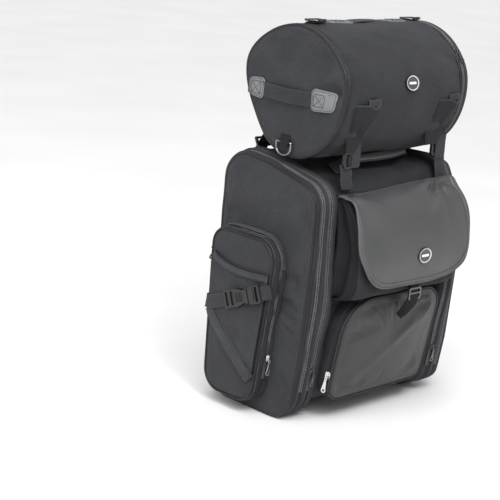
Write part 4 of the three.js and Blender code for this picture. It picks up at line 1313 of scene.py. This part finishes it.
def build_lower_pocket():
    rows = []
    stations = [
        (-90, 6), (-104, 5), (-114, 4), (-122, 3.4), (-130, 3.6), (-133.4, 2.2), (-134.4, 0), (-141, -0.4),
        (-142.4, 1.6), (-145, 1.8), (-147, 0.4)
    ]
    for y, off in stations:
        rows += lower_ring(y, off, 2.0)
    gusset = piece(
        "lower_pocket_gusset", rows, grid_faces(len(stations), len(LOWER), True), FABRIC_SHADED, "main",
        replaces="rear_lower_pocket", slot="fabric", thick=1.8
    )

    def place(a, b, h):
        return leaned(a, -147.4 - h, b)

    def crown(a, b, f):
        inner = min(1, 4 * (1 - f))
        puff = 8.5 * (1 - f**2) * (0.55 + 0.45 * ease(b, 40, 190))
        reach = math.hypot(a - 108, b - 204)
        angle = math.atan2(b - 204, a - 108)
        folds = 3.6 * math.cos(6.0 * angle + 0.9) * math.exp(-reach / 80) * ease(reach, 4, 30)
        reach2 = math.hypot(a + 104, b - 190)
        ridge = (a - 108) * 0.55 - (b - 200) * 0.83
        folds += 8.5 * math.exp(-((ridge / 9) ** 2)) * math.exp(-reach / 100)
        folds += 1.8 * math.cos(
            5.0 * math.atan2(b - 190, a + 104)
        ) * math.exp(-reach2 / 50) * ease(reach2, 4, 24)
        return puff + folds * inner + 2.0 * wobble((a, b, 0), 64, 8.8) * inner

    rim = [(1.4, -4, 0), (0.6, 0, 0), (1.4, 1.4, 0), (3, 1.0, 0), (5, 2.0, 0), (10, 2.0, 0)]
    # The lower panel uses the darker copy of the leatherette: painted shade.
    front = panel(
        "lower_panel_leather", LOWER, rim, crown, place, [LEATHER_LOW_SHADED], "lower_lid",
        shrink=PANEL_RINGS, replaces="rear_lower_panel", slot="leather",
    )
    settle_cloth(front, 14, 3.5)
    normals = np.array([lean_direction(nx, 0, nz) for nx, nz in LOWER_OUT])
    tube("lower_piping", np.array(lower_ring(-147.6, 1.4)), normals, 1.7, PIPING, "lower_lid", closed=True)
    start, end = int(0.17 * len(LOWER)), int(0.86 * len(LOWER))
    ring = np.array(lower_ring(-138, 0.2))[start:end]
    zip_line(
        "lower_zip_coil", ring, normals[start:end], "main", replaces="rear_lower_zip", slot="zip",
        pitch=3.0, coil=2.6, tape=4.8
    )
    tube("lower_lip", np.array(lower_ring(-144.2, 2.6)), normals, 1.0, TRIM_RIDGE_HIGHLIGHT, "main", closed=True, squash=0.8)
    tube(
        "lower_lip_inner", np.array(lower_ring(-131.6, 3.4)), normals, 1.2, PIPING, "main", closed=True,
        squash=0.8
    )
    down = lean_direction(-0.03, 0, -1.0)
    out = lean_direction(-1.0, -0.28, 0.0)
    out /= np.linalg.norm(out)
    across = np.cross(down, out)
    seat = leaned(-122.6, -138, 84)
    slider(
        "lower_slide", seat, down, out, across, CHROME, "lower_slider", replaces="rear_lower_slider",
        slot="metal"
    )
    d_pull(
        "lower_tab", seat + out * 6.6 + down * 1.5, down, out, across, 30, CHROME, "lower_pull",
        replaces="rear_lower_pull", slot="metal"
    )


# ------------------------------------------------------------------ roll bag
ROLL_Y, ROLL_Z = -15, 562
# Its closed end seen from outside: flattened under the front, full at the upper front and the rear.
ROLL_OUTLINE = curve_through(
    [
        (-14, 671), (34, 660), (76, 634), (98, 603), (97, 566), (77, 523), (36, 470), (-14, 452),
        (-62, 460), (-104, 493), (-127, 545), (-128, 600), (-96, 640), (-58, 663)
    ], 400, True
)
ROLL_ANGLES = np.degrees(np.unwrap(np.arctan2(ROLL_OUTLINE[:, 1] - ROLL_Z, ROLL_OUTLINE[:, 0] - ROLL_Y)))
ROLL_REACH = np.hypot(ROLL_OUTLINE[:, 1] - ROLL_Z, ROLL_OUTLINE[:, 0] - ROLL_Y)
ROLL_N = 220


def roll_radius(angle, x=0.0):
    """Distance from the roll's axis to its cloth; angle from the front, positive upwards, in degrees."""
    low = min(ROLL_ANGLES[0], ROLL_ANGLES[-1])
    turned = (angle - low) % 360 + low
    order = np.argsort(ROLL_ANGLES)
    own = np.interp(turned, ROLL_ANGLES[order], ROLL_REACH[order])
    even = 0.55 * ease(x, 60, 150)
    return own * (1 - even) + 111 * even


def roll_point(x, angle, off):
    a = math.radians(angle)
    r = roll_radius(angle, x) + off
    return np.array((x, ROLL_Y + r * math.cos(a), ROLL_Z + r * math.sin(a)))


def roll_ring(x, off, lumps=0.0, seed=0.0, scale=40):
    ring = []
    for k in range(ROLL_N):
        angle = 360 * k / ROLL_N
        a = math.radians(angle)
        swell = off
        if lumps:
            swell += lumps * wobble((x * 0.6, 70 * math.cos(a), 70 * math.sin(a)), scale, seed)
            swell += 0.45 * lumps * wobble((x * 0.35, 90 * math.cos(a), 90 * math.sin(a)), 15, seed + 1)
        ring.append(roll_point(x, angle, swell))
    return ring


def roll_out(angle):
    a = math.radians(angle)
    return np.array((0, math.cos(a), math.sin(a)))


def cap_height(a, b):
    """How far the closed end's cloth stands out beyond its seam, at (y, z)."""
    angle = math.degrees(math.atan2(b - ROLL_Z, a - ROLL_Y))
    f = min(1.0, math.hypot(a - ROLL_Y, b - ROLL_Z) / (roll_radius(angle) - 6))
    puff = 6.5 * (1 - f**2)
    # A crease runs in from the rear edge where the handle is sewn; soft folds fan from the top
    d = math.hypot(a + 118, (b - 574) * 2.4)
    puff -= 8.5 * math.exp(-((d / 24) ** 2))
    d = math.hypot(a + 104, (b - 596 + (a + 104) * 0.5) * 2.6)
    puff += 2.6 * math.exp(-((d / 22) ** 2))
    fan = math.atan2(b - 556, a + 10)
    puff += 3.4 * math.cos(9 * fan + 0.7) * ease(f, 0.4, 0.9) * (1 - ease(f, 0.93, 1)) * (
        0.45 + 0.55 * math.sin(fan)
    )
    return puff + 1.8 * wobble((a, b, 0), 40, 5) * min(1, 4 * (1 - f))


def build_roll():
    rows, xs = [], np.concatenate(
        [[-159, -157.5, -156, -154, -150, -145], np.linspace(-138, 130, 44), [136, 139.5]]
    )
    for x in xs:
        seam = 2.0 * math.exp(-((x + 132) / 20) ** 2) + 1.6 * math.exp(-((x - 118) / 20) ** 2)
        puff = 2.5 * (1 - (x / 160) ** 2) - (1.5 if x < -158 else 0) + (0.9 if -156.5 < x < -153 else 0)
        rows += roll_ring(x, puff, 2.6 + seam, 2.9, 34)
    barrel = piece(
        "roll_cloth", rows, grid_faces(len(xs), ROLL_N, True), FABRIC_ROLL, "roll", replaces="roll_shell",
        slot="fabric", thick=2.2
    )
    settle_cloth(barrel, 8, 2.2)

    def cap(sign, x, name, body, node, height):
        loop = np.array([p[1:] for p in roll_ring(x if sign > 0 else -160, 0)])

        def place(a, b, h):
            return (sign * (abs(x) + h), a, b)

        rows = [(2.5, -5, 0), (1.2, -1, 0), (2.2, 0.8, 0), (3.4, 0.0, 0), (5, 1.2, 0)]
        obj = panel(
            name, loop, rows, height, place, [FABRIC_CAP], body,
            shrink=CAP_RINGS, replaces=node, slot="fabric", thick=1.8,
        )

    cap(
        -1, 159.5, "roll_left_cloth", "roll", (), lambda a, b,
        f: cap_height(a, b) - cap_height(a, b) * (1 - min(1, 12 * (1 - f)))
    )
    cap(
        1, 156, "roll_cap_cloth", "roll_cap", "roll_end_cap", lambda a, b,
        f: 6.5 * (1 - f**2) + 1.8 * wobble((a, b, 0), 44, 9) * min(1, 4 * (1 - f))
    )
    outs = np.array([roll_out(360 * k / ROLL_N) for k in range(ROLL_N)])
    tube("roll_piping_left", np.array(roll_ring(-159.6, 0.4)), outs, 2.2, PIPING, "roll", closed=True)
    tube("roll_piping_seam", np.array(roll_ring(138.6, 1.2)), outs, 1.8, PIPING, "roll", closed=True)
    tube("roll_piping_right", np.array(roll_ring(156.4, 0.2)), outs, 2.1, PIPING, "roll_cap", closed=True)
    # Short band with the zip between the barrel and the end cap
    rows = []
    band = [(139.5, 1.5), (141, 1.0), (142, 0.0), (149.4, 0.0)]
    for x, off in band:
        rows += roll_ring(x, off, 0.6, 2.9, 34)
    piece("roll_zip_band", rows, grid_faces(len(band), ROLL_N, True), FABRIC_SHADED, "roll", thick=1.6)
    rim = [(150.6, -0.4), (151.4, 1.0), (154.6, 1.4), (156.2, 0.2)]
    rows = []
    for x, off in rim:
        rows += roll_ring(x, off, 0.6, 2.9, 34)
    piece("roll_cap_rim", rows, grid_faces(len(rim), ROLL_N, True), FABRIC_ROLL, "roll_cap", thick=1.6)
    ring = np.array(roll_ring(146.4, 0.4))
    first = int(ROLL_N * 0.80)
    order = [(first + k) % ROLL_N for k in range(int(ROLL_N * 0.92))]
    zip_line("roll_zip_coil", ring[order], outs[order], "roll", pitch=3.0, coil=2.6, tape=4.0)
    for k, x in enumerate((-155.2, -151.5)):
        stitches(f"roll_stitch_left_{k}", np.array(roll_ring(x, 2.6)), outs, "roll", closed=True)
    up = 140
    seat = roll_point(146.4, up, 0.6)
    out = roll_out(up)
    down = np.cross(np.array([1.0, 0, 0]), out)
    slider(
        "roll_slide", seat, down, out, np.array([1.0, 0, 0]), GUNMETAL, "roll_slider",
        replaces="roll_slider", slot="metal"
    )
    d_pull(
        "roll_tab", seat + out * 4.4 + down * 2, down, out, np.array([1.0, 0, 0]), 26, GUNMETAL,
        "roll_slider"
    )


def box_stitch(name, place, a0, a1, b0, b1, out, body):
    """A sewn box with a cross in it, as used to fix webbing."""
    corners = [(a0, b0), (a1, b0), (a1, b1), (a0, b1)]
    for k, (p, q) in enumerate(
        list(zip(corners, corners[1:] + corners[:1])) + [(corners[0], corners[2]), (corners[1], corners[3])]
    ):
        row = np.array(
            [place(p[0] + (q[0] - p[0]) * t, p[1] + (q[1] - p[1]) * t) for t in np.linspace(0, 1, 14)]
        )
        stitches(f"{name}_{k}", row, out, body, pitch=3.4, dash=2.4, radius=0.45)


def sewn_patch(name, points, place, out, body, stitch, mats=None, **more):
    """A rounded leatherette patch laid on a curved surface by place(a, b, height)."""
    loop = rounded(points, 90, 1)
    normals = outward(loop)
    edge = [(0, 0, 0), (0.3, 1.4, 0), (1.4, 2.0, 0), (2.6, 1.3, 0), (4, 1.9, 0)]
    obj = panel(
        name, loop, edge, lambda a, b, f: 0.5 * (1 - f), place, mats or [PATCH], body,
        shrink=(0.8, 0.55, 0.3), **more
    )
    row = np.array([place(a, b, 1.7) for a, b in loop - normals * 2.6])
    stitches(name + "_stitch", row, out, body, closed=True, pitch=3.6, dash=2.6)
    if stitch:
        box_stitch(name + "_box", lambda a, b: place(a, b, 2.5), *stitch, out, body)
    return obj


def build_end_handle():
    """Webbing grab handle across the closed end, sewn down by two patches, and a ring on a tab below."""
    out = np.array([-1.0, 0, 0])

    def place(a, b, h):
        return np.array((-(160.2 + cap_height(a, b) + h), a, b))

    line = [place(92, 555, 1.2), place(70, 555, 1.4), place(48, 555, 2.4)]
    line += [np.array((-171.5, 20, 554.5)), np.array((-173.0, -10, 554)), np.array((-171.5, -40, 554.5))]
    line += [place(-62, 555, 2.4), place(-88, 556, 1.0), place(-100, 556, 0.6)]
    strap(
        "end_handle_web", curve_through(line, 70), out, 25, 2.0, WEBBING, "roll", replaces="end_handle",
        slot="webbing"
    )
    sewn_patch(
        "end_patch_front", [[48, 537, 9], [88, 540, 10], [88, 571, 10], [48, 574, 9]][::1], lambda a, b,
        h: place(a, b, 2.6 + h), out, "roll", (56, 80, 545, 566)
    )
    sewn_patch(
        "end_patch_rear", [[-114, 541, 10], [-64, 536, 9], [-64, 576, 9], [-114, 572, 10]], lambda a, b,
        h: place(a, b, 2.6 + h), out, "roll", (-92, -70, 546, 566)
    )
    tab_line = [
        np.array((-(161.0 + cap_height(-10, 486)), -10, 488)),
        np.array((-(163.0 + cap_height(-10, 482)), -10, 483)), np.array((-170.4, -10, 475.0)),
        np.array((-167.6, -9, 471.8)), np.array((-164.2, -10, 477)), np.array((-162.4, -10, 485))
    ]
    strap(
        "end_tab_web", curve_through(tab_line, 30), out, 23, 1.8, WEBBING_DARK, "roll", replaces="end_tab",
        slot="webbing"
    )
    d_ring(
        "end_d_ring", np.array((-167.4, -9, 474.5)), np.array((0, 1.0, 0)), np.array((0, 0, -1.0)), out,
        16.5, 22, 2.0, RING_METAL, "end_ring", replaces="end_ring", slot="metal"
    )


def build_roll_top():
    """Grab handle lying along the top between two patches, and a dark ring on a tab beyond each end."""
    up = np.array([0, 0, 1.0])

    def place(a, b, h):
        """x, distance round the roll from its top in mm, height."""
        p = roll_point(a, 90 - math.degrees(b / 110), h + 2.2)
        return p + np.array((0, 0, 0))

    line = [
        place(-96, 0, 1), place(-60, 0, 1.2), place(-44, 0, 1.8), place(-26, 0, 3.2), place(0, 0, 3.8),
        place(26, 0, 3.2), place(44, 0, 1.8), place(60, 0, 1.2), place(96, 0, 1)
    ]
    strap(
        "roll_handle_web", curve_through(line, 70), up, 26, 2.2, WEBBING, "roll", replaces="roll_handle",
        slot="webbing"
    )
    for word, g in SIDES:
        corners = [[g * 45, -17, 6], [g * 98, -13, 10], [g * 98, 13, 10], [g * 45, 17, 6]]
        if g < 0:
            corners = corners[::-1]
        a0, a1 = sorted((g * 60, g * 86))
        sewn_patch(
            f"roll_patch_cloth_{word}", corners, lambda a, b, h: place(a, b, 2.2 + h), up, "roll",
            (a0, a1, -9, 9), replaces=f"roll_patch_{word}", slot="patch"
        )
        tab = [
            place(g * 121, 17, 0.6), place(g * 121, 8, 1.2), place(g * 121, -6, 3.0),
            place(g * 121, -13.8, 6.8), place(g * 121, -10, 8.4), place(g * 121, 2, 4.6),
            place(g * 121, 15, 1.8)
        ]
        strap(
            f"roll_tab_web_{word}", curve_through(tab, 30), up, 20, 1.6, WEBBING, "roll",
            replaces=f"roll_tab_{word}", slot="webbing"
        )
        d_ring(
            f"roll_d_ring_{word}", np.array((g * 121, -3.2, 678.6)), np.array((1.0, 0, 0)),
            np.array((0, -1.0, 0.02)), up, 14.5, 25, 1.8, GUNMETAL, f"roll_ring_{word}",
            replaces=f"roll_ring_{word}", slot="metal"
        )


# Per side: the sleeve's centre and half width at its mouth, middle and foot;
# then the strap's x and width below it.
SLEEVE = {
    "left": ((-104.5, 33.5), (-109, 23), (-107, 16), (-99, 20)),
    "right": ((106.5, 33.5), (99, 31), (106, 25), (122, 26)),
}
RING_SEAT = {"left": (-117, 459), "right": (109, 466)}


def build_sleeve(word, g):
    """A tapered loop of cloth on the rear of the roll; its foot leaves the roll and hangs down."""
    mouth_at, middle_at, foot_at, (strap_x, strap_wide) = SLEEVE[word]
    rows, cols = 40, 31
    spine = [roll_point(0, a, 0) for a in (183, 190, 197, 205, 213)] + [
        np.array((0, -110, 491)), np.array((0, -108.5, 472))
    ]
    spine = curve_through(spine, rows)
    outs = [roll_out(183)] * rows
    for r in range(rows):
        step = spine[min(r + 1, rows - 1)] - spine[max(r - 1, 0)]
        outs[r] = np.array((0, step[2], -step[1])) / math.hypot(step[1], step[2])
    verts = []
    for r in range(rows):
        v = r / (rows - 1)
        centre = np.interp(v, (0, 0.5, 1), (mouth_at[0], middle_at[0], foot_at[0]))
        half = np.interp(v, (0, 0.5, 1), (mouth_at[1], middle_at[1], foot_at[1]))
        for c in range(cols):
            u = -1 + 2 * c / (cols - 1)
            mouth = (1 - ease(v, 0, 0.75)) * (0.6 + 0.4 * math.exp(-(((u - 0.3) / 0.4) ** 2)))
            stand = 3.6 + 8.5 * mouth * (1 - u**4)
            if abs(u) > 0.93:
                stand = 2.4
            tip = 5.0 * math.exp(-(((u - 0.32) / 0.2) ** 2)) * max(0.0, 1 - 6 * v)
            wrinkle = 1.6 * wobble((u * 26, v * 52, g), 15, 4.4)
            verts.append(
                spine[r] + np.array((centre + u * half, 0, -tip)) + outs[r]
                * (stand + wrinkle * (1 - abs(u) ** 3))
            )
    cloth = piece(
        f"sleeve_cloth_{word}", verts, grid_faces(rows, cols), FABRIC_SHADED, "roll",
        replaces=f"roll_sleeve_{word}", slot="fabric", thick=1.8
    )
    for label, col in (("a", 2), ("b", cols - 3)):
        path = np.array([verts[r * cols + col] + outs[r] * 1.0 for r in range(rows)])
        stitches(f"sleeve_stitch_{word}_{label}", path, np.array(outs), "roll")
    hem = np.array([verts[c] for c in range(cols)])
    tube(f"sleeve_hem_{word}", hem, outs[0], 1.3, FABRIC, "roll")
    # The strap's folded top end curls in the mouth; below the foot it turns round the anchor ring
    curl = [
        roll_point(mouth_at[0] + 10, a, h) for a,
        h in ((196, 2.8), (187, 3.2), (180.5, 4.6), (179, 7.6), (183, 9.4), (187, 7.6), (185, 5.6))
    ]
    strap(
        f"roll_strap_fold_{word}", curve_through(curl, 36), np.array([roll_out(182)] * 36), 30, 1.8,
        WEBBING, "roll"
    )
    line = [
        (strap_x, -113.2, 487), (strap_x, -112.6, 474), (strap_x, -113.0, 460), (strap_x, -112.6, 449),
        (strap_x, -110.4, 445.4), (strap_x, -107.6, 449), (strap_x, -106.6, 460), (strap_x, -105.6, 474),
        (strap_x, -101.0, 484)
    ]
    strap(
        f"roll_strap_{word}", curve_through(line, 70), np.array([[0, -1, -0.05]] * 70), strap_wide, 1.8,
        WEBBING, "roll", replaces=f"rear_strap_{word}", slot="webbing"
    )


def build_anchor(word, g):
    """On the main bag: a webbing strap up its rear panel to an oblong ring that takes the roll's strap."""
    ring_x, ring_z = RING_SEAT[word]

    def place(a, b, h):
        return np.array((ring_x + a, -110.0 - h, ring_z + b))

    plate(
        f"anchor_ring_{word}", box_loop(-9.5, 9.5, -15, 15, 6, 40), [box_loop(-5, 5, -11, 10.5, 4, 32)],
        place, -2.4, 2.4, PLASTIC, "main", bevel=1.3, replaces=f"rear_anchor_{word}", slot="plastic"
    )
    web_x = np.interp(g, (-1, 1), (-117, 127))
    line = [
        (web_x, -106.5, ring_z - 8), (web_x, -108.4, ring_z - 16), (web_x, -110.5, 436),
        (web_x + g * 1, -112.4, 424), (web_x + 2, -113.2, 415), (web_x + 2, -113.8, 410)
    ]
    strap(
        f"anchor_web_{word}", curve_through(line, 50), np.array([(0, -1, 0.1)] * 50), 27, 1.8, WEBBING,
        "main"
    )
    x1 = g * 107
    # Front strap of the roll bag, down to the main bag's front top edge
    line = [roll_point(x1, a, 3.0) for a in (12, -4, -20, -34, -44)]
    line += [
        np.array((x1, 84, 470)), np.array((x1, 92, 458)), np.array((x1, 99, 447)), np.array((x1, 104, 438))
    ]
    strap(
        f"front_strap_{word}", curve_through(line, 60), np.array([(0, 1, -0.2)] * 60), 30, 1.8, WEBBING,
        "roll"
    )

    def seat(a, b, h):
        return np.array((x1 + a, 97 + h + 0.5 * b, 452 + b))

    plate(
        f"front_fitting_{word}", box_loop(-19, 19, -8, 8, 3, 36),
        [box_loop(-15, 15, -5, -1, 1), box_loop(-15, 15, 1, 5, 1)], seat, -1.5, 3.0, PLASTIC, "roll",
        bevel=1.0
    )


def build_top_handle():
    """Carry handle of the main bag: flat sewn ends and a rolled middle, lying back on the top."""
    path = curve_through(
        [
            (-96, -60, 433), (-86, -62, 436), (-66, -66, 445), (-40, -72, 449), (0, -76, 450),
            (44, -72, 451), (76, -62, 452), (95, -46, 449), (106, -34, 440)
        ],
        90
    )
    out = np.array([(0, -0.5, 0.85)] * 90)
    side, up = frames_along(path, out)
    verts = []
    sides = 16
    for i, (p, s, o) in enumerate(zip(path, side, up)):
        t = i / 89
        roll = ease(t, 0.1, 0.24) * (1 - ease(t, 0.8, 0.94))
        wide, tall = 13 - 6.0 * roll, 1.2 + 5.2 * roll
        for k in range(sides):
            a = 2 * math.pi * k / sides
            pinch = 1 + 0.16 * roll * math.cos(6 * a)
            verts.append(p + s * wide * math.cos(a) * pinch + o * tall * math.sin(a) * pinch)
    faces = grid_faces(90, sides, True) + [
        tuple(range(sides))[::-1], tuple(89 * sides + k for k in range(sides))
    ]
    piece("top_handle_web", verts, faces, WEBBING, "main", replaces="top_carry_handle", slot="webbing")
    # Lighter edge tubes: painted highlight along the handle's rolled edges.
    for label, sign in (("a", 1), ("b", -1)):
        row = np.array([p + s * 5.6 * sign + o * 3.2 for p, s, o in zip(path, side, up)])[12:78]
        tube(f"top_handle_edge_{label}", row, (0, -0.5, 0.85), 1.3, BORDER_HIGHLIGHT, "main")


def build_back_sleeve():
    """Padded sleeve on the front face that goes over the backrest bar, bound at its edges and open below."""
    loop = rounded([[-118, 42, 14], [118, 42, 14], [118, 400, 30], [-118, 400, 30]], 240)

    def place(a, b, h):
        return (a, 118.5 + h, b)

    def crown(a, b, f):
        channels = -1.6 * math.exp(-(((b - 160) / 5) ** 2)) - 1.6 * math.exp(-(((b - 280) / 5) ** 2))
        return 9 * (1 - f**4) + channels + 1.6 * wobble((a, b, 0), 50, 12) * min(1, 4 * (1 - f))

    rim = [(0, -4, 0), (0, 2, 0), (1.5, 5, 0), (4, 6.4, 0), (9, 7.2, 0)]
    pad = panel(
        "back_sleeve_cloth", loop, rim, crown, place, [FABRIC], "main",
        shrink=PANEL_RINGS, replaces="bar_sleeve", slot="fabric", thick=2.0,
    )
    normals = outward(loop)
    ring = np.array([place(a, b, 4.6) for a, b in loop])
    tube(
        "back_sleeve_binding", ring, np.array([(nx, 0.3, nz) for nx, nz in normals]), 2.6, TRIM_RIDGE_HIGHLIGHT, "main",
        closed=True
    )
    row = np.array([place(a, b, 8.6) for a, b in loop - normals * 7.5])
    stitches("back_sleeve_stitch", row, (0, 1, 0), "main", closed=True)


# ------------------------------------------------------------------ assemble
build_middle()
for word, g in SIDES:
    build_side(word, g)
    face = build_pocket(word, g)
    build_buckle(word, g, face)
build_upper_pocket()
build_flap()
build_flap_closure()
BADGE_DOWN = FLAP_LENGTH - 48
build_badge(
    "flap_badge_plain", flap_place(15, BADGE_DOWN, 1.6), (0, -1, 0.06), (0, 0.06, 1), "flap", "flap_badge"
)
build_lower_pocket()
build_roll()
build_badge(
    "roll_badge_plain", roll_point(0, 180 - 12, 3.4), roll_out(180 - 12), (0, 0.2, 1), "roll", "roll_badge"
)
build_end_handle()
build_roll_top()
for word, g in SIDES:
    build_sleeve(word, g)
    build_anchor(word, g)
build_top_handle()
build_back_sleeve()

# ------------------------------------------------------------------ floor, light and camera
floor_z = min(0.0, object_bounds()[0][2])


def build_stage():
    mesh = bpy.data.meshes.new("floor")
    size = 30.0
    mesh.from_pydata(
        [(-size, -size, floor_z), (size, -size, floor_z), (size, size, floor_z), (-size, size, floor_z)],
        [], [(0, 1, 2, 3)]
    )
    floor = bpy.data.objects.new("floor", mesh)
    bpy.context.scene.collection.objects.link(floor)
    mat, tree, shader, coords = new_material("pale_floor")
    base = add_ramp(tree, add_noise(tree, coords, 400, 2), 0.3, 0.7, (0.84, 0.84, 0.84), (0.88, 0.88, 0.88))
    tree.links.new(base, shader.inputs["Base Color"])
    shader.inputs["Roughness"].default_value = 0.9
    mesh.materials.append(mat)
    world = bpy.data.worlds.new("studio")
    world.use_nodes = True
    world.node_tree.nodes["Background"].inputs["Color"].default_value = (1, 1, 1, 1)
    world.node_tree.nodes["Background"].inputs["Strength"].default_value = 0.5
    bpy.context.scene.world = world
    for name, place, size, power in (
        ("key", (-0.7, -1.6, 2.0), 0.8, 22),
        ("side", (-2.2, 0.5, 1.0), 1.0, 9),
        ("top", (0.3, 0.4, 2.4), 1.0, 10),
    ):
        data = bpy.data.lights.new(name, "AREA")
        data.shape = "DISK"
        data.size = size
        data.energy = power
        add_lamp(data, place)
    sun = bpy.data.lights.new("soft_sun", "SUN")
    sun.energy = 2.0
    sun.angle = math.radians(50)
    add_lamp(sun, (-1.6, -1.4, 3.2))


def add_lamp(data, place):
    lamp = bpy.data.objects.new(data.name, data)
    bpy.context.scene.collection.objects.link(lamp)
    lamp.location = place
    lamp.rotation_euler = (Vector((0, 0, 0.35)) - Vector(place)).to_track_quat("-Z", "Y").to_euler()


def build_camera():
    azimuth, elevation, roll = (math.radians(v) for v in (-45, 14.5, 4.8))
    target = Vector((-0.110, 0.107, 0.251))
    toward = Vector(
        (
            math.sin(azimuth) * math.cos(elevation), -math.cos(azimuth) * math.cos(elevation),
            math.sin(elevation)
        )
    )
    right = Vector((math.cos(azimuth), math.sin(azimuth), 0))
    up = toward.cross(right)
    rolled_right = right * math.cos(roll) + up * math.sin(roll)
    rolled_up = up * math.cos(roll) - right * math.sin(roll)
    data = bpy.data.cameras.new("camera")
    data.lens = 108
    data.sensor_width = 36
    data.clip_end = 50
    camera = bpy.data.objects.new("camera", data)
    bpy.context.scene.collection.objects.link(camera)
    matrix = Matrix((rolled_right, rolled_up, toward)).transposed().to_4x4()
    matrix.translation = target + toward * 2.695
    camera.matrix_world = matrix
    bpy.context.scene.camera = camera


build_stage()
build_camera()
bpy.context.scene.view_settings.view_transform = "Standard"
